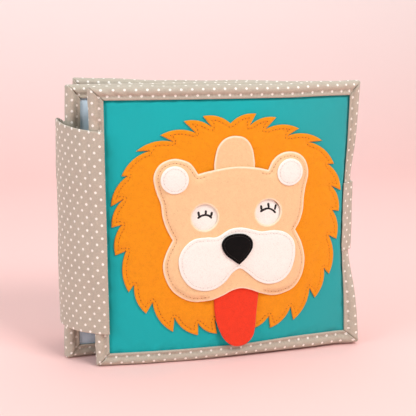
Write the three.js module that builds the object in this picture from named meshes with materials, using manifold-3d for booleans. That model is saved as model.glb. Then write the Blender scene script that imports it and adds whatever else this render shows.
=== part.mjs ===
// A padded cloth book that stands on its lower edges, with an appliqued lion on the
// front cover. Millimetres, +X from spine to fore-edge, -Y towards the reader, +Z up.
// The origin is at the middle of the footprint, on the surface that the book stands on.
import * as THREE from "three";
import { mergeVertices } from "three/addons/utils/BufferGeometryUtils.js";
import Module from "manifold-3d";

const wasm = await Module();
wasm.setup();

// Sizes of one bound panel
const panelWidth = 200;
const panelHeight = 200;
const bindingFace = 10;
const clothThick = 0.6;
const filmThick = 0.3;
const layerGap = 0.3;
const paddedThick = 6.8;
const crown = 1.4;
const bindingThick = 0.7;
const rollHeight = 0.9;
const restFlat = 3.2;
const coreInset = 2.6;
const rollEndShare = 0.36;
const stitchShare = 0.74;

// Felt work on the front cover
const feltThick = 1.0;
const hemSeam = 2.4;
const discRadius = 9.8;
const eyeWindowRadius = 9.3;
const slideTravel = 16;
const eyePanelMargin = 1.6;
const eyePanelCorner = 6;
const passageClearance = 1.8;
const tuftBulgeShare = 0.24;

// Where the panels stand in plan, measured from the front cover's spine edge: the place
// of each spine edge, how far back the fore-edge stands, and the panel's bend in degrees
const frontForeY = 17.55;
const frontBend = 15.3;
const pageSetX = -18.9;
const pageSetY = 21.3;
const pageForeY = 32.32;
const pageBend = -9;
const backSetX = -10.1;
const backSetY = 64;
const backForeY = 44.49;
const backBend = -6;

// Spine strap and closing tab
const strapThick = 1.0;
const strapBottom = 25;
const strapHeight = 144;
const strapBelly = 18.3;
const strapTaper = 1.3;
const strapLift = 4;
const tapeThick = 1.2;
const tapeHeight = 140;
const tabThick = 1.2;
const tabHeight = 52;
const tabCentre = 100;
const tabLength = 31;
const tabSlant = 2;
const loopReach = 6;
const hingeGap = 0.5;
const patchThick = 0.7;
const patchLength = 12;
const patchMargin = 4;

// How finely curves are cut
const bendSteps = 9;
const riseSteps = 5;
const curveSteps = 4;
const bandSteps = 14;
const bandRises = 3;
const searchSteps = 600;
const weldDistance = 1e-4;
const planeTolerance = 1e-5;

// Colours
const teal = 0x22b3b5;
const taupe = 0xc9b8a3;
const cream = 0xf3ead9;
const paleBlue = 0xa9c6da;
const orange = 0xfd9a20;
const peach = 0xfbcb98;
const white = 0xfdf3ea;
const red = 0xf9432b;
const black = 0x1a1513;
const silver = 0xd8dde0;

// Values that follow from the sizes above
const half = paddedThick / 2;
const faceWidth = panelWidth - 2 * bindingFace;
const faceHeight = panelHeight - 2 * bindingFace;
const cavityHalf = half + layerGap;
const bindingHalf = cavityHalf + bindingThick;
const rollHalf = bindingHalf + rollHeight - bindingThick / 2;
const layerStep = feltThick + layerGap;
const maneLow = half + layerGap;
const slideLow = maneLow + layerStep;
const headLow = slideLow + layerStep;
const topLow = headLow + layerStep;
const noseLow = topLow + layerStep;
const degree = Math.PI / 180;

const book = new THREE.Group();
const content = new THREE.Group();
book.add(content);

function addPiece(name, geometry, colour, roughness = 0.9) {
  const material = new THREE.MeshStandardMaterial({ color: colour, roughness, metalness: 0 });
  const mesh = new THREE.Mesh(geometry, material);
  mesh.name = name;
  content.add(mesh);
  return mesh;
}

// A bare copy of a geometry: positions and shared corners only
function weld(geometry) {
  const bare = new THREE.BufferGeometry();
  bare.setAttribute("position", geometry.getAttribute("position").clone());
  if (geometry.index) bare.setIndex(geometry.index.clone());
  return mergeVertices(bare, weldDistance);
}

// Cuts every triangle along the planes where one axis has the given values
function sliceAlong(geometry, axis, planes) {
  const source = geometry.getAttribute("position");
  const points = [];
  for (let i = 0; i < source.count; i++) points.push([source.getX(i), source.getY(i), source.getZ(i)]);
  let faces = [];
  const index = geometry.index.array;
  for (let i = 0; i < index.length; i += 3) faces.push([index[i], index[i + 1], index[i + 2]]);
  for (const plane of planes) {
    const onEdge = new Map();
    const side = (i) => {
      const distance = points[i][axis] - plane;
      return Math.abs(distance) < planeTolerance ? 0 : Math.sign(distance);
    };
    const crossing = (a, b) => {
      const key = a < b ? `${a}_${b}` : `${b}_${a}`;
      if (!onEdge.has(key)) {
        const [low, high] = a < b ? [points[a], points[b]] : [points[b], points[a]];
        const t = (plane - low[axis]) / (high[axis] - low[axis]);
        const cut = low.map((value, k) => value + (high[k] - value) * t);
        cut[axis] = plane;
        points.push(cut);
        onEdge.set(key, points.length - 1);
      }
      return onEdge.get(key);
    };
    const cutFaces = [];
    for (const face of faces) {
      const below = [];
      const above = [];
      for (let k = 0; k < 3; k++) {
        const a = face[k];
        const b = face[(k + 1) % 3];
        const sideA = side(a);
        if (sideA <= 0) below.push(a);
        if (sideA >= 0) above.push(a);
        if (sideA * side(b) < 0) {
          const middle = crossing(a, b);
          below.push(middle);
          above.push(middle);
        }
      }
      if (face.every((i) => side(i) === 0)) above.length = 0;
      for (const ring of [below, above]) {
        for (let k = 1; k + 1 < ring.length; k++) cutFaces.push([ring[0], ring[k], ring[k + 1]]);
      }
    }
    faces = cutFaces;
  }
  const sliced = new THREE.BufferGeometry();
  sliced.setAttribute("position", new THREE.Float32BufferAttribute(points.flat(), 3));
  sliced.setIndex(faces.flat());
  return sliced;
}

function toSolid(geometry) {
  const bare = weld(geometry);
  const vertProperties = new Float32Array(bare.getAttribute("position").array);
  const triVerts = new Uint32Array(bare.index.array);
  return new wasm.Manifold(new wasm.Mesh({ numProp: 3, vertProperties, triVerts }));
}

function fromSolid(solid) {
  const mesh = solid.getMesh();
  const geometry = new THREE.BufferGeometry();
  geometry.setAttribute("position", new THREE.BufferAttribute(mesh.vertProperties, 3));
  geometry.setIndex(new THREE.BufferAttribute(mesh.triVerts, 1));
  return geometry;
}

function moveVertices(geometry, rule) {
  const position = geometry.getAttribute("position");
  for (let i = 0; i < position.count; i++) {
    position.setXYZ(i, ...rule(position.getX(i), position.getY(i), position.getZ(i)));
  }
  return geometry;
}

// A panel's plan: an arc of the panel's width, from its spine edge to a fore-edge at foreY
function makePlan(x, y, foreY, bend) {
  const turn = bend * degree;
  const chord = (panelWidth * Math.sin(turn / 2)) / (turn / 2);
  return { x, y, start: Math.asin((foreY - y) / chord) - turn / 2, turn };
}

// The plan point at a distance along the panel and a height off its middle plane
function planPoint(plan, along, off) {
  const angle = plan.start + (plan.turn * along) / panelWidth;
  const radius = panelWidth / plan.turn;
  const x = plan.x + radius * (Math.sin(angle) - Math.sin(plan.start));
  const y = plan.y - radius * (Math.cos(angle) - Math.cos(plan.start));
  return [x + off * Math.sin(angle), y - off * Math.cos(angle)];
}

// How far the padding swells at a place on the panel's face, from 0 at the binding to 1
function swell(along, up) {
  const across = THREE.MathUtils.clamp((2 * (along - bindingFace)) / faceWidth - 1, -1, 1);
  const rise = THREE.MathUtils.clamp((2 * (up - bindingFace)) / faceHeight - 1, -1, 1);
  return (1 - across ** 4) * (1 - rise ** 4);
}

// Takes flat panel coordinates (along, up, off) to the standing, bowed panel. A piece
// with a swell height takes the padding's swell at that height all the way up.
function standUp(geometry, plan, swellHeight) {
  return moveVertices(geometry, (along, up, off) => {
    const lift = THREE.MathUtils.clamp(off / half, -1, 1) * crown * swell(along, swellHeight ?? up);
    const [x, y] = planPoint(plan, along, off + lift);
    return [x, y, up];
  });
}

function stepsBetween(low, high, count) {
  return Array.from({ length: count + 1 }, (unused, i) => low + ((high - low) * i) / count);
}

const alongPlanes = stepsBetween(bindingFace, panelWidth - bindingFace, bendSteps);
const upPlanes = stepsBetween(bindingFace, panelHeight - bindingFace, riseSteps);

function bow(geometry, plan) {
  const acrossCut = sliceAlong(weld(geometry), 0, alongPlanes);
  return standUp(sliceAlong(acrossCut, 1, upPlanes), plan);
}

// As above, straight from bottom to top, so that one such piece slides along another
function bowStraight(geometry, plan) {
  return standUp(sliceAlong(weld(geometry), 0, alongPlanes), plan, panelHeight / 2);
}

// Splits a face's squares the other way, so that both faces of a layer bend alike
function turnDiagonals(index, { start, count }) {
  for (let i = start; i < start + count; i += 6) {
    const [a, b, d, , c] = index.slice(i, i + 6);
    index.set([a, b, c, a, c, d], i);
  }
}

// A flat layer that ends inside the binding, cut along the same planes as its neighbours
function layer(low, high, inset) {
  const stops = [
    [inset, ...alongPlanes, panelWidth - inset],
    [inset, ...upPlanes, panelHeight - inset],
  ];
  const [acrossCuts, riseCuts] = stops.map((list) => list.length - 1);
  const box = new THREE.BoxGeometry(acrossCuts, riseCuts, high - low, acrossCuts, riseCuts);
  turnDiagonals(box.index.array, box.groups.at(-1));
  return moveVertices(weld(box), (x, y, z) => {
    const across = Math.round(x + acrossCuts / 2);
    const rise = Math.round(y + riseCuts / 2);
    return [stops[0][across], stops[1][rise], z + (low + high) / 2];
  });
}

// The folded binding's section: x inwards from the panel's outer edge, y off its middle
function bindingSection(rimHalf) {
  const bendAt = bindingFace * rollEndShare;
  const stitchAt = bindingFace * stitchShare;
  const cavityAt = bindingThick + layerGap;
  const shape = new THREE.Shape();
  shape.moveTo(0, -restFlat / 2);
  shape.quadraticCurveTo(0, -rimHalf, bendAt, -rimHalf);
  shape.lineTo(stitchAt, -bindingHalf);
  shape.lineTo(bindingFace - layerGap, -bindingHalf);
  shape.lineTo(bindingFace - layerGap, -cavityHalf);
  shape.lineTo(coreInset, -cavityHalf);
  shape.lineTo(cavityAt, -cavityHalf / 2);
  shape.lineTo(cavityAt, cavityHalf / 2);
  shape.lineTo(coreInset, cavityHalf);
  shape.lineTo(bindingFace - layerGap, cavityHalf);
  shape.lineTo(bindingFace - layerGap, bindingHalf);
  shape.lineTo(stitchAt, bindingHalf);
  shape.lineTo(bendAt, rimHalf);
  shape.quadraticCurveTo(0, rimHalf, 0, restFlat / 2);
  return shape;
}

// One strip of binding, mitred at both ends: flat, its outer edge along x, inwards along y
function bindingStrip(length, steps) {
  const options = { depth: 1, steps, bevelEnabled: false, curveSegments: curveSteps };
  const strip = weld(new THREE.ExtrudeGeometry(bindingSection(rollHalf), options));
  return moveVertices(strip, (inwards, off, share) => {
    const mitre = inwards + layerGap / 2;
    return [mitre + (length - 2 * mitre) * share, inwards, off];
  });
}

const bindingPlaces = {
  bottom: (along, inwards, off) => [along, inwards, off],
  top: (along, inwards, off) => [panelWidth - along, panelHeight - inwards, off],
  spine: (along, inwards, off) => [inwards, panelHeight - along, off],
  fore: (along, inwards, off) => [panelWidth - inwards, along, off],
};

// One bound panel: face cloth, wadding, crinkle film, lining and four mitred bindings
function addPanel(name, plan, frontColour, backColour) {
  const outer = coreInset + layerGap;
  const waddingTop = half - clothThick - layerGap;
  const filmHigh = -half + clothThick + layerGap + filmThick;
  const addLayer = (piece, low, high, inset, colour, roughness) => {
    addPiece(`${name}_${piece}`, standUp(layer(low, high, inset), plan), colour, roughness);
  };
  addLayer("front_cloth", half - clothThick, half, outer, frontColour);
  addLayer("wadding", filmHigh + layerGap, waddingTop, outer + layerGap, cream);
  addLayer("crinkle_film", filmHigh - filmThick, filmHigh, bindingFace / 2, silver, 0.3);
  addLayer("back_cloth", -half, -half + clothThick, outer, backColour);
  for (const [side, place] of Object.entries(bindingPlaces)) {
    const isLevel = side === "bottom" || side === "top";
    const strip = bindingStrip(isLevel ? panelWidth : panelHeight, isLevel ? bendSteps : 1);
    addPiece(`${name}_binding_${side}`, standUp(moveVertices(strip, place), plan), taupe);
  }
}

// Felt shapes are drawn in shares of the cover's face and set on it by these
function onFace([acrossShare, upShare]) {
  const along = bindingFace + acrossShare * faceWidth;
  const up = bindingFace + upShare * faceHeight;
  return new THREE.Vector2(along, up);
}

function feltSheet(shape, low, thick = feltThick) {
  const options = { depth: thick, bevelEnabled: false, curveSegments: curveSteps };
  return new THREE.ExtrudeGeometry(shape, options).translate(0, 0, low);
}

function smoothRun(pointShares, spacing) {
  const curve = new THREE.SplineCurve(pointShares.map(onFace));
  return curve.getSpacedPoints(Math.round(curve.getLength() / spacing));
}

// Tip and valley of each tuft, from the top notch down each side, ending under the tongue
const maneTopNotchShares = [0.483, 0.907];
const maneLeftTuftShares = [
  [0.374, 0.937, 0.407, 0.895], [0.299, 0.919, 0.344, 0.874], [0.208, 0.867, 0.256, 0.842],
  [0.115, 0.807, 0.166, 0.808], [0.058, 0.712, 0.08, 0.712], [0.016, 0.594, 0.063, 0.621],
  [0.017, 0.511, 0.055, 0.521], [0.029, 0.399, 0.07, 0.416], [0.078, 0.249, 0.099, 0.278],
  [0.145, 0.159, 0.171, 0.203], [0.252, 0.076, 0.258, 0.134], [0.354, 0.055, 0.354, 0.105],
  [0.434, 0.055, 0.424, 0.115], [0.5, 0.06, 0.517, 0.09],
];
const maneRightTuftShares = [
  [0.588, 0.942, 0.562, 0.897], [0.671, 0.925, 0.628, 0.881], [0.768, 0.878, 0.721, 0.852],
  [0.872, 0.825, 0.813, 0.822], [0.929, 0.728, 0.902, 0.729], [0.966, 0.617, 0.921, 0.638],
  [0.961, 0.531, 0.931, 0.536], [0.954, 0.413, 0.919, 0.432], [0.924, 0.267, 0.901, 0.293],
  [0.863, 0.17, 0.838, 0.214], [0.766, 0.084, 0.753, 0.141], [0.663, 0.059, 0.656, 0.11],
  [0.565, 0.06, 0.545, 0.095],
];

// One side of the mane: each tuft has a long bowed flank and a short straight one
function maneSide(tuftShares, turn) {
  const points = [];
  let from = onFace(maneTopNotchShares);
  for (const [tipAcross, tipUp, valleyAcross, valleyUp] of tuftShares) {
    const tip = onFace([tipAcross, tipUp]);
    const valley = onFace([valleyAcross, valleyUp]);
    const run = tip.clone().sub(from);
    const bulge = new THREE.Vector2(-run.y, run.x).multiplyScalar(-turn * tuftBulgeShare);
    const control = from.clone().add(tip).multiplyScalar(0.5).add(bulge);
    const flank = new THREE.QuadraticBezierCurve(from, control, tip);
    points.push(...flank.getPoints(curveSteps).slice(1), valley);
    from = valley;
  }
  return points;
}

function maneShape() {
  const left = maneSide(maneLeftTuftShares, 1);
  const right = maneSide(maneRightTuftShares, -1);
  return new THREE.Shape([onFace(maneTopNotchShares), ...left, ...right.reverse()]);
}

// The head's outline in four smooth runs that meet in corners, and its face features
const headBrowShares = [[0.353, 0.713], [0.416, 0.729], [0.5, 0.739], [0.58, 0.733], [0.636, 0.72]];
const headRightEarShares = [
  [0.636, 0.72], [0.652, 0.752], [0.68, 0.778], [0.721, 0.789], [0.765, 0.78], [0.797, 0.75],
  [0.811, 0.699], [0.8, 0.64], [0.795, 0.6], [0.793, 0.55], [0.781, 0.505], [0.762, 0.471],
];
const headChinShares = [
  [0.762, 0.471], [0.793, 0.413], [0.808, 0.345], [0.797, 0.279], [0.763, 0.229], [0.71, 0.206],
  [0.661, 0.203], [0.61, 0.219], [0.568, 0.236], [0.528, 0.245], [0.49, 0.238], [0.45, 0.219],
  [0.4, 0.203], [0.343, 0.198], [0.296, 0.212], [0.252, 0.245], [0.224, 0.293], [0.212, 0.35],
  [0.225, 0.403], [0.251, 0.454],
];
const headLeftEarShares = [
  [0.251, 0.454], [0.228, 0.5], [0.213, 0.547], [0.206, 0.6], [0.19, 0.645], [0.179, 0.699],
  [0.19, 0.737], [0.216, 0.763], [0.262, 0.776], [0.312, 0.763], [0.335, 0.742], [0.353, 0.713],
];
const earDiscShares = { left: [0.259, 0.695], right: [0.724, 0.709] };
const eyeShares = { left: [0.377, 0.543], right: [0.638, 0.551] };
const muzzleShares = [
  [0.427, 0.464], [0.387, 0.464], [0.335, 0.459], [0.296, 0.431], [0.274, 0.39], [0.273, 0.35],
  [0.287, 0.304], [0.322, 0.263], [0.371, 0.246], [0.419, 0.252], [0.46, 0.278], [0.489, 0.312],
  [0.522, 0.329], [0.555, 0.307], [0.593, 0.275], [0.64, 0.257], [0.692, 0.263], [0.731, 0.293],
  [0.753, 0.345], [0.757, 0.4], [0.745, 0.438], [0.71, 0.467], [0.663, 0.478], [0.612, 0.476],
  [0.578, 0.484], [0.529, 0.496], [0.479, 0.492],
];
const noseShares = [
  [0.516, 0.347], [0.486, 0.369], [0.459, 0.392], [0.443, 0.427], [0.451, 0.453], [0.475, 0.469],
  [0.508, 0.474], [0.543, 0.468], [0.568, 0.446], [0.571, 0.415], [0.556, 0.387], [0.538, 0.366],
  [0.516, 0.347],
];
const tabRoundShares = [
  [0.416, 0.75], [0.42, 0.779], [0.43, 0.815], [0.45, 0.842], [0.477, 0.856], [0.507, 0.858],
  [0.536, 0.851], [0.559, 0.829], [0.573, 0.797], [0.581, 0.75],
];
const tongueRoundShares = [
  [0.416, 0.222], [0.422, 0.139], [0.439, 0.074], [0.464, 0.029], [0.496, 0.004], [0.527, 0],
  [0.557, 0.01], [0.583, 0.04], [0.593, 0.082], [0.598, 0.137], [0.606, 0.222],
];
const outlineSpacing = 5;
const noseSpacing = 3;

function headPoints() {
  const runs = [headBrowShares, headRightEarShares, headChinShares, headLeftEarShares];
  return runs.flatMap((run) => smoothRun(run, outlineSpacing).slice(1));
}

// Points moved inwards by a distance, each along its two edges' mean normal
function insetOutline(points, distance) {
  const sign = THREE.ShapeUtils.isClockWise(points) ? -1 : 1;
  return points.map((point, i) => {
    const before = points[(i + points.length - 1) % points.length];
    const after = points[(i + 1) % points.length];
    const run = after.clone().sub(before).normalize();
    return new THREE.Vector2(point.x - sign * run.y * distance, point.y + sign * run.x * distance);
  });
}

function blockBetween([lowX, lowY], [highX, highY], low, high) {
  const box = new THREE.BoxGeometry(highX - lowX, highY - lowY, high - low);
  return box.translate((lowX + highX) / 2, (lowY + highY) / 2, (low + high) / 2);
}

// The slider's three felts lie in one plane, between the mane and the head
const eyeCentres = { left: onFace(eyeShares.left), right: onFace(eyeShares.right) };
const windowReach = eyeWindowRadius + eyePanelMargin;
const eyePanelBox = {
  low: [eyeCentres.left.x - windowReach, eyeCentres.left.y - windowReach - slideTravel],
  high: [eyeCentres.right.x + windowReach, eyeCentres.right.y + windowReach],
};

// The head is sewn down round its edge, and open where the slider passes under it
function headSolid() {
  const outline = headPoints();
  const faceShape = new THREE.Shape(outline);
  for (const centre of Object.values(eyeCentres)) {
    faceShape.holes.push(new THREE.Path().absarc(centre.x, centre.y, eyeWindowRadius, 0, 2 * Math.PI));
  }
  const hemShape = new THREE.Shape(outline);
  hemShape.holes.push(new THREE.Path(insetOutline(outline, hemSeam).reverse()));
  const hem = toSolid(feltSheet(hemShape, slideLow, layerStep + feltThick / 2));
  const tabLeft = onFace(tabRoundShares[0]).x - passageClearance;
  const tabRight = onFace(tabRoundShares.at(-1)).x + passageClearance;
  const tongueLeft = onFace(tongueRoundShares[0]).x - passageClearance;
  const tongueRight = onFace(tongueRoundShares.at(-1)).x + passageClearance;
  const middle = eyeCentres.left.y;
  const overrun = panelHeight;
  const upper = blockBetween([tabLeft, middle], [tabRight, overrun], 0, headLow);
  const lower = blockBetween([tongueLeft, 0], [tongueRight, middle], 0, headLow);
  const sewn = hem.subtract(toSolid(upper)).subtract(toSolid(lower));
  return fromSolid(toSolid(feltSheet(faceShape, headLow)).add(sewn));
}

function sliderTab() {
  const base = eyePanelBox.high[1] + layerGap;
  const round = smoothRun(tabRoundShares, outlineSpacing);
  const shape = new THREE.Shape([
    ...round,
    new THREE.Vector2(round.at(-1).x, base),
    new THREE.Vector2(round[0].x, base),
  ]);
  return feltSheet(shape, slideLow);
}

function tongue() {
  const top = eyePanelBox.low[1] - layerGap;
  const round = smoothRun(tongueRoundShares, outlineSpacing);
  const shape = new THREE.Shape([
    ...round,
    new THREE.Vector2(round.at(-1).x, top),
    new THREE.Vector2(round[0].x, top),
  ]);
  return feltSheet(shape, slideLow);
}

function eyePanel() {
  const [left, bottom] = eyePanelBox.low;
  const [right, top] = eyePanelBox.high;
  const corner = eyePanelCorner;
  const shape = new THREE.Shape();
  shape.moveTo(left + corner, bottom);
  shape.lineTo(right - corner, bottom);
  shape.quadraticCurveTo(right, bottom, right, bottom + corner);
  shape.lineTo(right, top - corner);
  shape.quadraticCurveTo(right, top, right - corner, top);
  shape.lineTo(left + corner, top);
  shape.quadraticCurveTo(left, top, left, top - corner);
  shape.lineTo(left, bottom + corner);
  shape.quadraticCurveTo(left, bottom, left + corner, bottom);
  return feltSheet(shape, slideLow);
}

function addLion(plan) {
  const addFelt = (name, geometry, colour) => addPiece(name, bowStraight(geometry, plan), colour);
  addPiece("mane", bow(feltSheet(maneShape(), maneLow), plan), orange);
  addFelt("lion_head", headSolid(), peach);
  for (const [side, shares] of Object.entries(earDiscShares)) {
    const centre = onFace(shares);
    const disc = new THREE.Shape().absarc(centre.x, centre.y, discRadius, 0, 2 * Math.PI);
    addFelt(`ear_disc_${side}`, feltSheet(disc, topLow), white);
  }
  const muzzlePoints = smoothRun([...muzzleShares, muzzleShares[0]], outlineSpacing);
  addFelt("muzzle", feltSheet(new THREE.Shape(muzzlePoints), topLow), white);
  addFelt("nose", feltSheet(new THREE.Shape(smoothRun(noseShares, noseSpacing)), noseLow), black);
  addFelt("slider_tab", sliderTab(), peach);
  addFelt("slider_eye_panel", eyePanel(), white);
  addFelt("tongue", tongue(), red);
}

// A band of cloth that stands on edge. It runs along part of a plan curve, which is its
// outer face, and has its thickness on the left of the curve's way.
function standingBand(curve, from, to, thick, low, height) {
  const outer = [];
  const inner = [];
  for (let i = 0; i <= bandSteps; i++) {
    const share = from + ((to - from) * i) / bandSteps;
    const point = curve.getPointAt(share);
    const way = curve.getTangentAt(share);
    outer.push(point);
    inner.push(new THREE.Vector2(point.x - way.y * thick, point.y + way.x * thick));
  }
  const options = { depth: height, steps: bandRises, bevelEnabled: false };
  const shape = new THREE.Shape([...outer, ...inner.reverse()]);
  return weld(new THREE.ExtrudeGeometry(shape, options)).translate(0, 0, low);
}

// The share of a curve's length at the place nearest to a point
function shareNearest(curve, point) {
  let best = 0;
  for (let i = 0; i <= searchSteps; i++) {
    const share = i / searchSteps;
    const distance = curve.getPointAt(share).distanceTo(point);
    if (distance < curve.getPointAt(best).distanceTo(point)) best = share;
  }
  return best;
}

function onPlan(plan, along, off) {
  return new THREE.Vector2(...planPoint(plan, along, off));
}

const frontPlan = makePlan(0, 0, frontForeY, frontBend);
const pagePlan = makePlan(pageSetX, pageSetY, pageForeY, pageBend);
const backPlan = makePlan(backSetX, backSetY, backForeY, backBend);

// How a band lies round a rolled edge: shares of the band's wrap outside the edge, and
// of its height off the panel's middle
const wrapShares = [[-1.45, 0.5], [-0.8, 0.64], [0.04, 0.81], [1.3, 0.975], [2.8, 1.01]];
const rearFoldShares = [-0.8, 0.96];
const rearStartShare = 1 / 3;

// The belly of the strap: shares of the way from rear fold to front fold, and of its depth
const bellyShares = [
  [0.05, 0.2], [0.126, 0.41], [0.215, 0.62], [0.324, 0.82], [0.443, 0.96], [0.543, 1.01],
  [0.626, 0.995], [0.688, 0.935], [0.757, 0.83], [0.827, 0.68], [0.903, 0.46], [0.964, 0.2],
];

const strapWrap = layerGap + strapThick;
const strapOff = rollHalf + strapWrap;
const legEnd = bindingFace - layerGap;

// The strap's outer face in plan, from the back cover's rear round to the front border
const frontLeg = wrapShares.map(([out, off]) => onPlan(frontPlan, out * strapWrap, off * strapOff));
frontLeg.push(onPlan(frontPlan, legEnd, wrapShares.at(-1)[1] * strapOff));
const rearOff = -wrapShares.at(-1)[1] * strapOff;
const rearLeg = [legEnd, bindingFace * rearStartShare].map((along) => onPlan(backPlan, along, rearOff));
const frontFold = frontLeg[0];
const rearFold = onPlan(backPlan, rearFoldShares[0] * strapWrap, -rearFoldShares[1] * strapOff);

function bellyPoints() {
  const way = frontFold.clone().sub(rearFold);
  const out = new THREE.Vector2(way.y, -way.x).normalize();
  return bellyShares.map(([along, depth]) =>
    rearFold.clone().addScaledVector(way, along).addScaledVector(out, depth * strapBelly),
  );
}

const strapCurve = new THREE.SplineCurve([...rearLeg, rearFold, ...bellyPoints(), ...frontLeg]);

// The band's belly leans in as it rises, and its top edge stands higher there than at the
// front fold. Both die away towards the rear fold.
function shapeBelly(x, y, z) {
  const along = THREE.MathUtils.clamp((y - frontFold.y) / (rearFold.y - frontFold.y), 0, 1);
  const out = THREE.MathUtils.clamp((frontFold.x - x) / strapBelly, 0, 1);
  const rise = (z - strapBottom) / strapHeight;
  const lift = strapLift * Math.sin((Math.PI / 2) * out) * Math.min(1, 2 * (1 - along));
  return [x + strapTaper * rise * Math.sin(Math.PI * along), y, z + lift * rise];
}

function addStrap() {
  const seam = layerGap / 2 / strapCurve.getLength();
  const rearShare = shareNearest(strapCurve, rearFold);
  const frontShare = shareNearest(strapCurve, frontFold);
  const part = (from, to) => standingBand(strapCurve, from, to, strapThick, strapBottom, strapHeight);
  addPiece("strap_rear_leg", part(0, rearShare - seam), taupe);
  addPiece("strap_spine_band", moveVertices(part(rearShare + seam, frontShare - seam), shapeBelly), taupe);
  addPiece("strap_front_leg", part(frontShare + seam, 1), taupe);
}

// Where a ray in plan meets the strap's inner face, as a distance
function reachToStrap(origin, way) {
  const across = new THREE.Vector2(-way.y, way.x);
  let best = Infinity;
  for (let i = 0; i <= searchSteps; i++) {
    const point = strapCurve.getPointAt(i / searchSteps).sub(origin);
    const ahead = point.dot(way);
    if (ahead > 0 && Math.abs(point.dot(across)) < tapeThick) best = Math.min(best, ahead);
  }
  return best - strapThick;
}

// The tape that sews the page's spine edge to the inside of the strap
const pageEdge = onPlan(pagePlan, 0, 0);
const pageWay = onPlan(pagePlan, -bindingThick, 0).sub(pageEdge).normalize();

function addPageTape() {
  const length = reachToStrap(pageEdge, pageWay) - hingeGap - layerGap;
  const box = new THREE.BoxGeometry(length, tapeThick, tapeHeight);
  box.translate(hingeGap + length / 2, 0, strapBottom + tapeHeight / 2);
  box.rotateZ(Math.atan2(pageWay.y, pageWay.x));
  const placed = weld(box.translate(pageEdge.x, pageEdge.y, 0));
  const middle = pageEdge.x - hingeGap - length / 2;
  const leaned = moveVertices(placed, (x, y, z) => {
    if (x > middle) return [x, y, z];
    return [shapeBelly(x, y, z)[0], y, z];
  });
  addPiece("page_hinge_tape", leaned, cream);
}

// The closing tab's outer face: over the front border, round the fore-edge and back
const tabWrap = layerGap + tabThick;
const tabOff = rollHalf + tabWrap;
const tabFoldShares = [1.1, 0.25];
const tabWrapShares = [[-1.05, 0.56], [-0.2, 0.83], [1.1, 0.985], [2.8, 1.02]];
const tabStandingShares = [0.12, 0.3, 0.6, 1];
const tabFold = onPlan(frontPlan, panelWidth + tabWrap * tabFoldShares[0], tabOff * tabFoldShares[1]);
const tabWay = new THREE.Vector2(Math.sin(tabSlant * degree), Math.cos(tabSlant * degree));

const tabFront = tabWrapShares.map(([inShare, offShare]) =>
  onPlan(frontPlan, panelWidth - inShare * tabWrap, offShare * tabOff),
);
tabFront.push(onPlan(frontPlan, panelWidth - legEnd, wrapShares.at(-1)[1] * tabOff));
const tabBack = tabStandingShares.map((share) =>
  tabFold.clone().addScaledVector(tabWay, share * tabLength),
);
const tabCurve = new THREE.SplineCurve([...tabFront.reverse(), tabFold, ...tabBack]);

// The shorter tab stands inside the first, turns a corner and ends on the back cover's rear
const patchStack = layerGap * 3 + patchThick * 2;
const tabInward = new THREE.Vector2(-tabWay.y, tabWay.x);
const loopStandingShares = [0.42, 0.56, 0.71, 0.86];
const loopCornerShares = [[1.22, -0.42], [0.85, -0.75], [0.4, -0.95], [0, -1.03], [-0.4, -1.03]];

function loopCurve() {
  const foot = tabFold.clone().addScaledVector(tabInward, tabThick + patchStack);
  const standing = loopStandingShares.map((share) =>
    foot.clone().addScaledVector(tabWay, share * tabLength),
  );
  const corner = loopCornerShares.map(([outShare, offShare]) =>
    onPlan(backPlan, panelWidth + outShare * loopReach, offShare * tabOff),
  );
  const end = onPlan(backPlan, panelWidth - legEnd, loopCornerShares.at(-1)[1] * tabOff);
  return new THREE.SplineCurve([...standing, ...corner, end]);
}

// A hook or loop patch stands between the two tabs, flat against its own
function patch(inwardGap) {
  const height = tabHeight - 2 * patchMargin;
  const box = new THREE.BoxGeometry(patchThick, patchLength, height);
  const middle = tabFold.clone().addScaledVector(tabWay, tabLength - patchMargin - patchLength / 2);
  middle.addScaledVector(tabInward, tabThick + inwardGap + patchThick / 2);
  box.rotateZ(-tabSlant * degree);
  return weld(box.translate(middle.x, middle.y, tabCentre));
}

function addTabs() {
  const seam = layerGap / 2 / tabCurve.getLength();
  const foldShare = shareNearest(tabCurve, tabFold);
  const low = tabCentre - tabHeight / 2;
  addPiece("tab_sewn_end", standingBand(tabCurve, 0, foldShare - seam, tabThick, low, tabHeight), taupe);
  addPiece("tab_flap", standingBand(tabCurve, foldShare + seam, 1, tabThick, low, tabHeight), taupe);
  addPiece("hook_patch", patch(layerGap), cream);
  addPiece("loop_tab", standingBand(loopCurve(), 0, 1, tabThick, low, tabHeight), taupe);
  addPiece("loop_patch", patch(layerGap * 2 + patchThick), cream);
}

addPanel("front_cover", frontPlan, teal, cream);
addPanel("page", pagePlan, paleBlue, paleBlue);
addPanel("back_cover", backPlan, cream, teal);
addLion(frontPlan);
addStrap();
addPageTape();
addTabs();

// The origin goes to the middle of the footprint
const reach = new THREE.Box3().setFromObject(book);
content.position.set(-(reach.min.x + reach.max.x) / 2, -(reach.min.y + reach.max.y) / 2, -reach.min.z);

export default book;
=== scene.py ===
import functools
import math

import bpy
import numpy as np
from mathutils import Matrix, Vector
from mathutils.geometry import delaunay_2d_cdt


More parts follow.
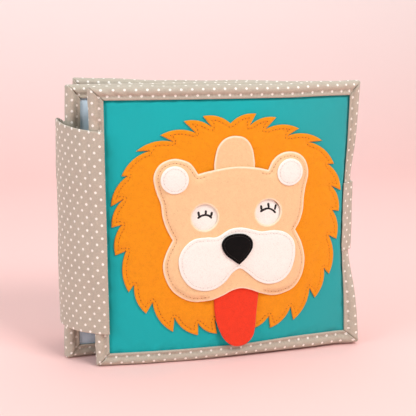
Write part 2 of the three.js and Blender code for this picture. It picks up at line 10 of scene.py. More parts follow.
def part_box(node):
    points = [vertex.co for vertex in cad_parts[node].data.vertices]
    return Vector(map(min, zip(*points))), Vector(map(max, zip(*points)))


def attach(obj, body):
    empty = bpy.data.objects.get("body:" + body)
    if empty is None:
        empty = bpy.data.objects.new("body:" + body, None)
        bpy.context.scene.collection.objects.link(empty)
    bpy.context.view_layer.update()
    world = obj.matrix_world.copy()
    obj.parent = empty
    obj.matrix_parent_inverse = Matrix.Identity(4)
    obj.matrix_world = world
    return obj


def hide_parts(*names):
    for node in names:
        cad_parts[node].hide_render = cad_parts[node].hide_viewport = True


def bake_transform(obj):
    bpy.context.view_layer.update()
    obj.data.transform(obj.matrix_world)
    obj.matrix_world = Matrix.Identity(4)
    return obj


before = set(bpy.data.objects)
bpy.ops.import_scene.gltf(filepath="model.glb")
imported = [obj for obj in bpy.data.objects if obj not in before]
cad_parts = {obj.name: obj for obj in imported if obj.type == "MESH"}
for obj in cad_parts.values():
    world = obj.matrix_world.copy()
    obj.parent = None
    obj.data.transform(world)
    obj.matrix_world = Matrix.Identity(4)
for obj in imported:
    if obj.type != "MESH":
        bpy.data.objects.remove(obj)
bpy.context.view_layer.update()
mm = 0.001

# One panel of the book, in millimetres, with the puckers and the groove beside its border
panel = {
    "size": 200, "border": 10, "half": 3.4, "crown": 1.4, "looseWave": 55, "loose": 0.3,
    "puckerWave": 9, "pucker": 0.35, "puckerReach": 7, "drawnFrom": 0.35, "drawn": 0.5,
    "groove": 0.8, "grooveAt": 10.1, "grooveWidth": 1.2, "grooveHigh": 40,
}
# Each panel's plan: the place of its spine edge and its direction at both edges
plans = {
    "front": (-88.567, -29.951, -2.601, 12.699),
    "page": (-107.467, -8.651, 7.662, -1.338),
    "back": (-98.667, 34.049, -2.601, -8.601),
}
# What the soft panels do beyond their plans. The page leans as it rises, the back cover's top
# corner stands up, the front's spine edge leans out, and the tab draws its fore-edge in and back.
# The front's border is wider below and at the fore-edge, and the page's spine border turns away.
# A ramp or height with two numbers says where it starts and how far it reaches.
slack = {
    "pageLean": 6.1, "cornerLift": 2.8, "cornerReach": 75, "spineLean": 1.4, "spineReach": 16,
    "foreHeights": (0, 38, 70, 100, 130, 160, 200),
    "foreIn": (1.6, -0.3, -3.5, -3.9, -3.7, -1.9, -0.6),
    "foreBack": (3.4, 0.4, -6.5, -7.1, -6.7, -3.4, -1.8),
    "foreRamp": (184, 15), "foreWider": 1.5, "widerFade": 0.5, "lowWider": 2.0, "lowRamp": (100, 60),
    "cornerDrop": 3.2, "dropRamp": (130, 70), "topLift": 1.2, "topRamp": (140, 35), "topHigh": (184, 12),
    "footLift": 1.3, "footRamp": (50, 80), "footHigh": (0, 16), "rollReach": 16, "rollTurn": 0.25,
    "faceRamp": (80, 90), "lipFade": 9,
    "faceAlong": (0, 45, 72, 100, 143, 166, 184, 190, 200),
    "faceIn": (0, 0, 0.1, 0.6, 1.4, 1.8, 0.9, 0.3, 0),
}


# Shape helpers
def smooth(t):
    t = np.clip(t, 0, 1)
    return t * t * (3 - 2 * t)


# Rises softly from 0 at a start to 1 a reach further
def ramp(value, startAndReach):
    start, reach = startAndReach
    return smooth((value - start) / reach)


# A bell curve that is 1 at distance 0
def bell(distance, width):
    return np.exp(-((distance / width) ** 2))


# A quarter circle's rise from 0 at an edge to 1 over a radius
def quarterRound(distance, radius):
    return np.sqrt(np.clip(1 - (1 - np.clip(distance / radius, 0, 1)) ** 2, 0, 1))


# The left-hand sides of flat directions
def leftOf(way):
    return np.stack([-way[:, 1], way[:, 0]], 1)


# Unit sidewards directions at the points of a closed ring
def ringSides(ring):
    way = np.roll(ring, -1, axis=0) - np.roll(ring, 1, axis=0)
    return leftOf(way / (np.linalg.norm(way, axis=1)[:, None] + 1e-9))


# Plan position of points a distance along a panel and a height off its middle
def place(plan, along, off):
    x, y, start, end = plans[plan]
    start, turn = math.radians(start), math.radians(end - start)
    angle = start + turn * along / panel["size"]
    radius = panel["size"] / turn
    px = x + radius * (np.sin(angle) - math.sin(start))
    py = y - radius * (np.cos(angle) - math.cos(start))
    return px + off * np.sin(angle), py - off * np.cos(angle)


def pageLean(up):
    return slack["pageLean"] * (up / panel["size"] - 0.5)


# A share that is full at the border's inner lip and dies away on both sides of it
def atLip(inset):
    return smooth(inset / panel["border"]) * smooth((2 * panel["border"] - inset) / slack["lipFade"])


# A panel's points, moved as the soft cloth gives
def settle(plan, along, up, off):
    rise = up / panel["size"]
    if plan == "page":
        near = np.clip(1 - along / slack["rollReach"], 0, 1)
        turn = slack["rollTurn"] * smooth(near)
        out = slack["rollTurn"] * slack["rollReach"] * (near**3 - near**4 / 2)
        return along + pageLean(up) + off * np.sin(turn), up, off * np.cos(turn) + out
    if plan == "back":
        lift = slack["cornerLift"] * smooth(rise) * smooth(1 - along / slack["cornerReach"])
        drop = slack["cornerDrop"] * smooth(rise) * ramp(along, slack["dropRamp"])
        return along, up + lift - drop, off
    share = ramp(along, slack["foreRamp"])
    wider = slack["foreWider"] * (1 - slack["widerFade"] * rise) * atLip(panel["size"] - along)
    inward = np.interp(up, curveUp, foreIn) * share - wider
    inward = inward - np.interp(along, curveAlong, faceIn) * (1 - ramp(up, slack["faceRamp"]))
    lean = slack["spineLean"] * rise * smooth(1 - along / slack["spineReach"])
    higher = slack["lowWider"] * ramp(along, slack["lowRamp"]) * atLip(up)
    higher = higher + slack["topLift"] * ramp(along, slack["topRamp"]) * ramp(up, slack["topHigh"])
    higher = higher + slack["footLift"] * ramp(along, slack["footRamp"]) * (1 - ramp(up, slack["footHigh"]))
    return along + inward - lean, up + higher, off + np.interp(up, curveUp, foreBack) * share


# Panel points (along, up, off) in millimetres as frame points in metres
def stand(plan, points):
    along, up, off = settle(plan, *np.asarray(points, float).T)
    x, y = place(plan, along, off)
    return np.stack([x, y, up], 1) * mm


# Soft unevenness from -1 to 1 with waves of about the given length
def waves(along, up, length, seed, count=9):
    pick = np.random.default_rng(seed)
    total = np.zeros_like(along, float)
    for _ in range(count):
        way, phase = pick.uniform(0, 2 * math.pi, 2)
        k = 2 * math.pi / (length * pick.uniform(0.7, 1.5))
        total += np.sin(k * (along * math.cos(way) + up * math.sin(way)) + phase)
    return total / math.sqrt(count) / 1.5


# How far the padding swells off a panel's face
def crownAt(along, up):
    inner = panel["size"] / 2 - panel["border"]
    across = np.clip((along - panel["size"] / 2) / inner, -1, 1)
    rise = np.clip((up - panel["size"] / 2) / inner, -1, 1)
    return panel["crown"] * (1 - across**4) * (1 - rise**4)


# Height of the cover cloth: padding, drawn-in border and small puckers
def faceAt(along, up, seed):
    inset = np.minimum.reduce([along, up, panel["size"] - along, panel["size"] - up])
    near = np.exp(-np.clip(inset - panel["border"], 0, None) / panel["puckerReach"])
    pucker = waves(along, up, panel["puckerWave"], seed + 5) * near * panel["pucker"]
    groove = bell(inset - panel["grooveAt"], panel["grooveWidth"]) * smooth(up / panel["grooveHigh"])
    drawn = np.clip(near - panel["drawnFrom"], 0, 1) * panel["drawn"] + panel["groove"] * groove
    loose = waves(along, up, panel["looseWave"], seed) * panel["loose"] * (1 - near)
    return panel["half"] + crownAt(along, up) + loose + pucker - drawn


# A smooth line through points, at an even spacing
def splineThrough(points, spacing=None, closed=False, count=12):
    p = np.asarray(points, float)
    ends = (p[-1:], p[:2]) if closed else (p[:1], p[-1:])
    q = np.concatenate([ends[0], p, ends[1]])
    out = []
    for i in range(1, len(q) - 2):
        t = np.linspace(0, 1, count, endpoint=False)[:, None]
        a, b, c, d = q[i - 1], q[i], q[i + 1], q[i + 2]
        out.append(0.5 * (2 * b + (c - a) * t + (2 * a - 5 * b + 4 * c - d) * t**2 + (3 * b - a - 3 * c + d) * t**3))
    line = np.concatenate(out + [q[-2][None]])
    return evenly(line, spacing) if spacing else line


# The distance run along a line at each of its points
def runOf(line):
    return np.concatenate([[0], np.cumsum(np.linalg.norm(np.diff(line, axis=0), axis=1))])


def evenly(line, spacing):
    line = np.asarray(line, float)
    run = runOf(line)
    count = max(2, int(round(run[-1] / spacing)))
    at = np.linspace(0, run[-1], count + 1)
    return np.stack([np.interp(at, run, line[:, k]) for k in range(line.shape[1])], 1)


curveAlong, faceIn = splineThrough(list(zip(slack["faceAlong"], slack["faceIn"]))).T
curveUp, foreIn = splineThrough(list(zip(slack["foreHeights"], slack["foreIn"]))).T
foreBack = splineThrough(list(zip(slack["foreHeights"], slack["foreBack"]))).T[1]


# Distance from flat points to a closed outline, positive inside it
def edgeDistance(points, ring):
    a = np.asarray(ring, float)
    b = np.roll(a, -1, axis=0)
    best = np.full(len(points), 1e9)
    inside = np.zeros(len(points), bool)
    px, py = points[:, 0], points[:, 1]
    for (ax, ay), (bx, by) in zip(a, b):
        dx, dy = bx - ax, by - ay
        t = np.clip(((px - ax) * dx + (py - ay) * dy) / max(dx * dx + dy * dy, 1e-12), 0, 1)
        best = np.minimum(best, np.hypot(px - ax - t * dx, py - ay - t * dy))
        if ay != by:
            crosses = ((ay > py) != (by > py)) & (px < (bx - ax) * (py - ay) / (by - ay) + ax)
            inside ^= crosses
    return np.where(inside, best, -best)


# Object helpers
def addObject(name, data):
    made = bpy.data.objects.new(name, data)
    bpy.context.scene.collection.objects.link(made)
    return made


def makeObject(name, vertices, faces, material):
    mesh = bpy.data.meshes.new(name)
    mesh.from_pydata([tuple(v) for v in vertices], [], [tuple(f) for f in faces])
    mesh.validate()
    for one in material if isinstance(material, list) else [material]:
        mesh.materials.append(one)
    mesh.polygons.foreach_set("use_smooth", [True] * len(mesh.polygons))
    piece = addObject(name, mesh)
    turnOutward(piece)
    return piece


# Flips the faces if the closed mesh has a negative volume
def turnOutward(piece):
    mesh = piece.data
    mesh.calc_loop_triangles()
    co = np.zeros(len(mesh.vertices) * 3)
    mesh.vertices.foreach_get("co", co)
    tri = np.zeros(len(mesh.loop_triangles) * 3, int)
    mesh.loop_triangles.foreach_get("vertices", tri)
    a, b, c = co.reshape(-1, 3)[tri.reshape(-1, 3)].transpose(1, 0, 2)
    if (a * np.cross(b, c)).sum() < 0:
        mesh.flip_normals()


def setPointValue(piece, name, values):
    attribute = piece.data.attributes.new(name, "FLOAT", "POINT")
    attribute.data.foreach_set("value", np.asarray(values, np.float32))


# Cloth coordinates in millimetres from a rule on each corner's point and face
def setUv(piece, rule):
    mesh = piece.data
    points = np.zeros(len(mesh.loops), int)
    mesh.loops.foreach_get("vertex_index", points)
    counts = np.zeros(len(mesh.polygons), int)
    mesh.polygons.foreach_get("loop_total", counts)
    faces = np.repeat(np.arange(len(mesh.polygons)), counts)
    layer = mesh.uv_layers.new(name="cloth")
    layer.data.foreach_set("uv", np.asarray(rule(points, faces), np.float32).ravel())


# Squares between neighbouring points of a grid kept row by row
def gridFaces(rows, columns, closedRows=False, closedColumns=False):
    faces = []
    for i in range(rows if closedRows else rows - 1):
        for j in range(columns if closedColumns else columns - 1):
            i2, j2 = (i + 1) % rows, (j + 1) % columns
            faces.append([a * columns + b for a, b in ((i, j), (i2, j), (i2, j2), (i, j2))])
    return faces


# Materials
# An sRGB hex colour as linear numbers with alpha, made darker or lighter by a share
def hexColour(value, share=1.0):
    parts = [int(value[i : i + 2], 16) / 255 for i in (0, 2, 4)]
    linear = [c / 12.92 if c <= 0.04045 else ((c + 0.055) / 1.055) ** 2.4 for c in parts]
    return (*[min(1, c * share) for c in linear], 1)


# Fills a node's inputs, or links those whose value is another node's socket
def fill(made, inputs):
    for key, value in inputs.items():
        if isinstance(value, bpy.types.NodeSocket):
            made.id_data.links.new(value, made.inputs[key])
        else:
            made.inputs[key].default_value = value


# Adds a node with its settings and inputs and gives one of its outputs. A kind without a
# family name is a shader node.
def addNode(tree, kind, inputs=None, out=0, **settings):
    ownFamily = kind.startswith(("Geometry", "Function", "NodeGroup"))
    made = tree.nodes.new(kind if ownFamily else "ShaderNode" + kind)
    for name, value in settings.items():
        setattr(made, name, value)
    fill(made, inputs or {})
    return made.outputs[out] if len(made.outputs) else None


def startMaterial(name):
    made = bpy.data.materials.new(name)
    made.use_nodes = True
    add = functools.partial(addNode, made.node_tree)
    return made, add, made.node_tree.nodes["Principled BSDF"], add("TexCoord", out="Object")


# The piece's own cloth coordinates, in millimetres
def clothPlaces(add):
    parts = add("SeparateXYZ", {0: add("UVMap", uv_map="cloth")}).node.outputs
    return parts[0], parts[1]


# Over and under of a plain weave with the given thread pitch in millimetres
def weaveHeight(add, u, v, pitch):
    turns = [add("Math", {0: one, 1: math.pi / pitch}, operation="MULTIPLY") for one in (u, v)]
    a, b = [add("Math", {0: turn}, operation="SINE") for turn in turns]
    both = add("Math", {0: a, 1: b}, operation="MULTIPLY")
    return add("Math", {0: both, 1: 0.5, 2: 0.5}, operation="MULTIPLY_ADD")


# A cloth's colour with others laid over it. Each layer has its share, the most of it that
# shows, and its colour.
def overlaid(add, cloth, layers):
    for share, most, colour in layers:
        part = add("MapRange", {"Value": share, "To Max": most})
        cloth = add("Mix", {0: part, 6: cloth, 7: colour}, out=2, data_type="RGBA")
    return cloth


# Quilting cotton with pin dots: a flat matt weave. The eye reads the even staggered dots,
# printed a little soft at the rim, thick slubs, and painted shade in the creases at seams and mitres.
dottedLook = {
    "ground": "C6BAA8", "dot": "FDF6EC", "across": 7.7, "rows": 9.15, "dotRadius": 0.92, "dotRim": 0.12,
    "fray": 0.16, "thread": 0.36,
}


def dottedCotton(look):
    made, add, shader, where = startMaterial("taupeCottonWithDots")
    u, v = clothPlaces(add)
    fine = add("TexNoise", {"Vector": where, "Scale": 1400})
    fray = add("MapRange", {"Value": fine, "To Min": -look["fray"], "To Max": look["fray"]})
    near = []
    for shift in (0.0, 0.5):
        squares = []
        for value, pitch in ((u, look["across"]), (v, look["rows"])):
            steps = (("DIVIDE", pitch), ("ADD", shift), ("FRACT", 0), ("SUBTRACT", 0.5), ("MULTIPLY", pitch))
            for operation, by in steps:
                value = add("Math", {0: value, 1: by}, operation=operation)
            squares.append(add("Math", {0: value, 1: value}, operation="MULTIPLY"))
        total = add("Math", dict(enumerate(squares)), operation="ADD")
        near.append(add("Math", {0: total}, operation="SQRT"))
    nearest = add("Math", dict(enumerate(near)), operation="MINIMUM")
    distance = add("Math", {0: nearest, 1: fray}, operation="ADD")
    start, end = look["dotRadius"] - look["dotRim"], look["dotRadius"] + look["dotRim"]
    dot = add("MapRange", {"Value": distance, "From Min": start, "From Max": end, "To Min": 1, "To Max": 0})
    weave = weaveHeight(add, u, v, look["thread"])
    blotch = add("TexNoise", {"Vector": where, "Scale": 60, "Detail": 3})
    knots = add("TexNoise", {"Vector": where, "Scale": 950})
    slubs = add("MapRange", {"Value": knots, "From Min": 0.35, "From Max": 0.7})
    # Painted shade in the creases at seams and mitres, laid over the ground as a dark share
    creaseShade = add("Attribute", out="Fac", attribute_name="creaseShade")
    tone = functools.partial(hexColour, look["ground"])
    layers = [
        (blotch, 1, tone(1.08)), (slubs, 0.5, tone(0.74)), (weave, 0.22, tone(0.72)),
        (dot, 1, hexColour(look["dot"])), (creaseShade, 1, tone(0.2)),
    ]
    fuzz = add("TexNoise", {"Vector": where, "Scale": 900})
    height = add("Math", {0: fuzz, 1: 0.6, 2: weave}, operation="MULTIPLY_ADD")
    fill(shader, {
        "Base Color": overlaid(add, tone(0.9), layers),
        "Normal": add("Bump", {"Height": height, "Strength": 0.5, "Distance": 0.00012}),
        "Roughness": add("MapRange", {"Value": blotch, "To Min": 0.82, "To Max": 0.95}),
        "Specular IOR Level": 0.25, "Sheen Weight": 0.15, "Sheen Roughness": 0.5,
    })
    return made


# Plain poplin: fine threads that barely show, a soft slubby unevenness and a low sheen.
# Painted shade can dull the cloth to another colour towards the fore-edge, where it turns from the light.
def plainCotton(name, colour, foreEdgeShade=None):
    made, add, shader, where = startMaterial(name)
    tone = functools.partial(hexColour, colour)
    weave = weaveHeight(add, *clothPlaces(add), 0.34)
    stretched = add("Mapping", {"Vector": where, "Scale": (1, 1, 0.08)})
    slub = add("TexNoise", {"Vector": stretched, "Scale": 1600, "Detail": 3})
    blotch = add("TexNoise", {"Vector": where, "Scale": 38, "Detail": 3})
    layers = [(blotch, 1, tone(1.06))]
    # Painted shade: the cloth dulls towards the fore-edge
    if foreEdgeShade:
        cloudy = add("TexNoise", {"Vector": where, "Scale": 14})
        drift = add("MapRange", {"Value": cloudy, "To Min": -0.03, "To Max": 0.03})
        across = add("Math", {0: add("SeparateXYZ", {0: where}), 1: drift}, operation="ADD")
        paintedShading = add("MapRange", {"Value": across, "From Min": 0.02, "From Max": 0.105})
        layers.append((paintedShading, 1, hexColour(foreEdgeShade)))
    layers += [(slub, 0.3, tone(0.82)), (weave, 0.16, tone(0.7))]
    height = add("Math", {0: slub, 1: 0.8, 2: weave}, operation="MULTIPLY_ADD")
    fill(shader, {
        "Base Color": overlaid(add, tone(0.94), layers),
        "Normal": add("Bump", {"Height": height, "Strength": 0.45, "Distance": 0.00012}),
        "Roughness": add("MapRange", {"Value": blotch, "To Min": 0.8, "To Max": 0.93}),
        "Specular IOR Level": 0.3, "Sheen Weight": 0.12, "Sheen Roughness": 0.5,
    })
    return made


# Craft felt: matted fibres lie in every direction. The eye reads a mottled, slightly furry
# surface with painted shade in its pits, a bloom at grazing angles and a painted highlight along the cut edge.
def felt(name, colour, edge=None, edgeWidth=1.2, mottle=0.09, sheen=0.3):
    made, add, shader, where = startMaterial(name)
    tone = functools.partial(hexColour, colour)
    warp = add("TexNoise", {"Vector": where, "Scale": 420}, out=1)
    shift = add("VectorMath", {0: warp, "Scale": 0.003}, operation="SCALE")
    bent = add("VectorMath", {0: where, 1: shift}, operation="ADD")
    fibres = add("TexNoise", {"Vector": bent, "Scale": 1500, "Detail": 5})
    clumps = add("TexNoise", {"Vector": bent, "Scale": 330, "Detail": 4})
    cloudy = add("TexNoise", {"Vector": where, "Scale": 55, "Detail": 3})
    # Painted shade in the pits where the fibres sink
    pitShade = add("MapRange", {"Value": fibres, "From Min": 0.3, "From Max": 0.5, "To Min": 0.4, "To Max": 0})
    layers = [(clumps, 1, tone(1 + mottle)), (cloudy, 0.35, tone(1 - mottle * 0.8)), (pitShade, 1, tone(0.66))]
    # Painted highlight along the cut edge, a paler rim
    if edge:
        inset = add("Attribute", out="Fac", attribute_name="inset")
        frayed = add("TexNoise", {"Vector": where, "Scale": 500})
        stray = add("MapRange", {"Value": frayed, "To Min": -0.5, "To Max": 0.5})
        wander = add("Math", {0: inset, 1: stray}, operation="ADD")
        rim = {"From Min": edgeWidth * 0.55, "From Max": edgeWidth * 1.3, "To Min": 1, "To Max": 0}
        layers.append((add("MapRange", {"Value": wander, **rim}), 1, hexColour(edge)))
    height = add("Math", {0: clumps, 1: 1.4, 2: fibres}, operation="MULTIPLY_ADD")
    fill(shader, {
        "Base Color": overlaid(add, tone(1 - mottle * 1.6), layers),
        "Normal": add("Bump", {"Height": height, "Strength": 0.6, "Distance": 0.0004}),
        "Roughness": add("MapRange", {"Value": fibres, "To Min": 0.88, "To Max": 1}),
        "Specular IOR Level": 0.15, "Sheen Weight": sheen, "Sheen Roughness": 0.6,
    })
    return made


# Spun polyester thread: two plies wound together, so fine slanting ridges and a soft gloss
def thread(name, colour):
    made, add, shader, where = startMaterial(name)
    wave = {"Vector": where, "Scale": 900, "Distortion": 1.5}
    ply = add("TexWave", wave, out=1, bands_direction="DIAGONAL")
    fill(shader, {
        "Base Color": overlaid(add, hexColour(colour, 0.78), [(ply, 1, hexColour(colour, 1.1))]),
        "Normal": add("Bump", {"Height": ply, "Strength": 0.5, "Distance": 0.0001}),
        "Roughness": 0.6, "Specular IOR Level": 0.4,
    })
    return made


# Hook and loop tape: a dense nylon pile, rough and slightly shiny on its tips
def pile(name, colour):
    made, add, shader, where = startMaterial(name)
    tips = add("TexVoronoi", {"Vector": where, "Scale": 1400})
    fill(shader, {
        "Base Color": overlaid(add, hexColour(colour, 1.05), [(tips, 1, hexColour(colour, 0.6))]),
        "Normal": add("Bump", {"Height": tips, "Strength": 0.9, "Distance": 0.0004}),
        "Roughness": 0.7,
    })
    return made


cottonDots = dottedCotton(dottedLook)
# The teal has painted shade towards the fore-edge
cottonTeal = plainCotton("tealCotton", "10B4B6", foreEdgeShade="33A5A6")
cottonCream = plainCotton("creamLining", "F1E8DA")
cottonBlue = plainCotton("paleBlueCotton", "D6ECFC")
feltOrange = felt("orangeFelt", "FB9808", mottle=0.12, sheen=0.15)
# The peach and white felts carry a painted highlight along their cut edges
feltPeach = felt("peachFelt", "FACE9A", edge="FFE8C8", mottle=0.07)
feltWhite = felt("whiteFelt", "FDF8EE", edge="FFFCF3", edgeWidth=1.0, mottle=0.03)
feltBlack = felt("blackFelt", "0B0706", mottle=0.5, sheen=0.04)
feltRed = felt("redFelt", "F23C1C", mottle=0.08, sheen=0.15)
# The needle holes are drawn as short dark dashes of painted shade, in the felt's shadow colour
threadColours = {
    "orangeThread": "F08C1C", "needleHoleShadeInOrange": "94490A", "peachThread": "EDB583", "needleHoleShadeInPeach": "B2623F",
    "whiteThread": "F6E9DD", "needleHoleShadeInWhite": "E0D2C8", "blackThread": "17120F", "taupeThread": "CDBBA6",
}
threads = {name: thread(name, colour) for name, colour in threadColours.items()}
nylonPile = pile("nylonPile", "EFE6D8")


# Padded panels
# The points on the outer edge of a grid kept row by row, in turn
def sideLoop(rows, columns):
    low, left = list(range(columns)), [i * columns for i in range(rows)]
    high, right = [left[-1] + j for j in low], [i + columns - 1 for i in left]
    return low[:-1] + right[:-1] + high[::-1][:-1] + left[::-1][:-1]


# Faces of a slab between two equal grids, the second one turned over: front, rear and walls
def slabFaces(rows, columns):
    count, edge = rows * columns, sideLoop(rows, columns)
    front = gridFaces(rows, columns)
    rear = [[count + i for i in f[::-1]] for f in front]
    return front, rear + [[a, b, count + b, count + a] for a, b in zip(edge, edge[1:] + edge[:1])]


# The pad's grid: fine rows at its rim, where the groove beside the binding lies, then even ones
padLook = {
    "rim": [3.2, 6.0, 8.4, 9.2, 9.7, 10.1, 10.5, 11.0, 11.7, 12.6, 13.8], "from": 15.2, "count": 110, "rearSeed": 40,
}


# Two cloth faces over the wadding, closed all round under the binding
def makePad(name, plan, frontMaterial, backMaterial, seed):
    rim, size = np.array(padLook["rim"]), panel["size"]
    middle = np.linspace(padLook["from"], size - padLook["from"], padLook["count"])
    line = np.concatenate([rim, middle, size - rim[::-1]])
    along, up = [a.ravel() for a in np.meshgrid(line, line)]
    front = np.stack([along, up, faceAt(along, up, seed)], 1)
    back = np.stack([along, up, -faceAt(along, up, seed + padLook["rearSeed"])], 1)
    points = np.concatenate([front, back])
    faces, others = slabFaces(len(line), len(line))
    pad = makeObject(name, stand(plan, points), faces + others, [frontMaterial, backMaterial])
    pad.data.polygons.foreach_set("material_index", [0] * len(faces) + [1] * len(others))
    setUv(pad, lambda corner, face: points[corner, :2])
    return pad


# The binding's section: how far in from the panel's edge, and how far off its middle
bindingLook = {
    "outer": [(9.8, 3.7), (9.75, 4.3), (9.3, 4.7), (8.4, 4.65), (7.3, 4.15), (6.5, 4.45), (5.5, 5.0), (4.2, 5.3),
              (3.0, 5.1), (1.7, 4.35), (0.7, 3.1), (0.12, 1.4), (0.02, 0.0)],
    "lining": [(9.5, 3.6), (2.6, 3.5), (1.2, 2.0)],
    "spacing": 0.75, "stitchLine": 7.3, "stitchPitch": 2.7, "step": 0.9, "corner": 2.6, "cornerPress": 0.15,
    "stitchDip": 0.2, "mitreDip": 0.9, "mitreLip": 0.2, "ridge": 0.26, "ridgeWave": 6, "swell": 0.28, "swellWave": 34,
    "strapSeat": 0.8, "strapMiddle": 97, "strapHalf": 75, "edgeSwell": 0.35, "edgeRidge": 0.12,
    "mitreShade": 0.55, "seamShade": 0.08, "stitchShade": 0.2, "seamAt": 7.0, "dotsAt": 3.5,
    "valleyWidth": 1.1, "mitreWidth": 0.5, "lipAt": 1.3, "lipWidth": 0.7, "ridgeAt": 5, "ridgeWidth": 2.4,
    "shadeWidth": 0.35, "seamWidth": 0.9, "pull": 1.2, "pullReach": 9, "slant": 0.25,
}


def bindingSection():
    half = splineThrough(bindingLook["outer"], bindingLook["spacing"])
    mirrored = half[::-1][1:] * [1, -1]
    lining = np.array(bindingLook["lining"])
    return np.concatenate([half, mirrored, lining * [1, -1], lining[::-1]]), 2 * len(half) - 1


# Places along one side, closer together at the mitres
def sidePlaces():
    size = panel["size"]
    start = np.array([0, 0.22, 0.45, 0.75, 1.1, 1.6, 2.2])
    middle = np.arange(3.0, size - 2.9, bindingLook["step"])
    return np.concatenate([start, middle, size - start[::-1][:-1]]) / size


# Rounds the outer corners of points on a panel
def roundCorners(along, up):
    size, radius = panel["size"], bindingLook["corner"]
    x, z = np.clip(along, radius, size - radius), np.clip(up, radius, size - radius)
    reach = np.hypot(along - x, up - z)
    inCorner = (along != x) & (up != z) & (reach > radius)
    pressed = radius + bindingLook["cornerPress"] * (reach - radius)
    share = np.where(inCorner, pressed / np.maximum(reach, 1e-6), 1)
    return x + (along - x) * share, z + (up - z) * share


# A folded strip of cloth round all four edges, mitred at the corners
def makeBinding(name, plan, seed):
    section, shownCount = bindingSection()
    places, look, size = sidePlaces(), bindingLook, panel["size"]
    perSide, width = len(places), len(section)
    shown = np.arange(width) < shownCount
    run = runOf(section)
    pick = np.random.default_rng(seed)
    rings, alongs, creaseShades = [], [], []
    for side in range(4):
        for share in places:
            inwards, off = section.T.copy()
            along = inwards + (size - 2 * inwards) * share
            corner = np.minimum(along - inwards, size - inwards - along)
            at = look["stitchLine"] + (size - 2 * look["stitchLine"]) * share
            beat = 0.5 + 0.5 * math.cos(2 * math.pi * at / look["stitchPitch"])
            valley = bell(inwards - look["stitchLine"], look["valleyWidth"])
            groove, lip = bell(corner, look["mitreWidth"]), bell(corner - look["lipAt"], look["lipWidth"])
            ridge = waves(at + inwards * look["slant"], inwards * 0 + side * 90, look["ridgeWave"], seed)
            ridge = ridge * bell(inwards - look["ridgeAt"], look["ridgeWidth"])
            swell = waves(np.array([at]), np.array([side * 70.0]), look["swellWave"], seed + 3)[0]
            pulled = 1 + look["pull"] * np.exp(-corner / look["pullReach"])
            change = -look["stitchDip"] * beat * valley - look["mitreDip"] * groove + look["mitreLip"] * lip
            change = change + look["ridge"] * ridge * pulled + look["swell"] * swell * (inwards < 7)
            # The strap is sewn down over the front cover's spine side
            if name == "front_cover_binding" and side == 3:
                under = smooth((abs(look["strapMiddle"] - at) - look["strapHalf"]) / -4)
                change = change - look["strapSeat"] * under * (section[:, 1] > 0)
            off = off + np.sign(off) * np.where(shown & (inwards > 0.6), change, 0)
            # The bottom edge stays straight, because the book stands on it
            edge = 0 if side == 0 else look["edgeSwell"] * swell + look["edgeRidge"] * ridge[width // 4]
            moved = np.where(shown, inwards + edge * np.exp(-inwards / 3), inwards)
            rings.append(turnSide(side, along, moved, off))
            alongs.append(along)
            # Painted shade in the mitre grooves and along the stitched seam valley, darker at each stitch
            mitre = look["mitreShade"] * smooth((inwards - 2) / 3) * bell(corner, look["shadeWidth"])
            seam = bell(inwards - look["seamAt"], look["seamWidth"])
            creaseShades.append(shown * np.maximum(mitre, (look["seamShade"] + look["stitchShade"] * beat) * seam))
    rings = np.array(rings).reshape(-1, 3)
    rings[:, 0], rings[:, 1] = roundCorners(rings[:, 0], rings[:, 1])
    faces = gridFaces(4 * perSide, width, closedRows=True, closedColumns=True)
    binding = makeObject(name, stand(plan, rings), faces, cottonDots)
    alongs = np.array(alongs)
    shift = pick.uniform(0, dottedLook["across"], 4)

    def corners(point, face):
        side = face // (perSide * width)
        ring, across = point // width, point % width
        end = (ring == ((side + 1) * perSide) % (4 * perSide)) & (face % (perSide * width) >= (perSide - 1) * width)
        along = np.where(end, size - section[across, 0], alongs[ring, across])
        return np.stack([along + shift[side], run[across] - look["dotsAt"]], 1)

    setUv(binding, corners)
    setPointValue(binding, "creaseShade", np.concatenate(creaseShades))
    return binding


# From a strip's own directions to the panel's: bottom, fore-edge, top, spine
def turnSide(side, along, inwards, off):
    size = panel["size"]
    spots = [(along, inwards), (size - inwards, along), (size - along, size - inwards), (inwards, size - along)]
    return np.stack([*spots[side], off], 1)


panelLooks = {
    "front_cover": {"plan": "front", "front": cottonTeal, "back": cottonCream, "seed": 11, "slots": "teal_cotton"},
    "page": {"plan": "page", "front": cottonBlue, "back": cottonBlue, "seed": 23, "slots": "blue_cotton"},
    "back_cover": {"plan": "back", "front": cottonCream, "back": cottonTeal, "seed": 37, "slots": "lining_cotton"},
}
for name, look in panelLooks.items():
    pad = makePad(f"{name}_pad", look["plan"], look["front"], look["back"], look["seed"])
    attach(pad, look["plan"])
    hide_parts(*[f"{name}_{part}" for part in ("front_cloth", "wadding", "crinkle_film", "back_cloth")])
    binding = makeBinding(f"{name}_binding", look["plan"], look["seed"])
    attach(binding, look["plan"])
    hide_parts(*[f"{name}_binding_{side}" for side in ("bottom", "top", "spine", "fore")])
    print("panel", name)


# Bands of cloth that stand on edge
def onPlan(plan, along, off):
    x, y = place(plan, np.float64(along), np.float64(off))
    return np.array([float(x), float(y)])


# What all bands share: rounded edges, the finest waves and the dip at a seam. A band that is
# open at both ends has tips that thin out there.
bandLook = {
    "rim": [0, 0.12, 0.35, 0.75, 1.3, 2.1], "rimTo": 3.5, "round": 0.75, "thinnest": 0.12,
    "fineWave": 11, "fine": 0.12, "seamWidth": 1.3, "seamDip": 0.22,
}


def openEnds(run):
    return np.minimum(run, run[-1] - run)


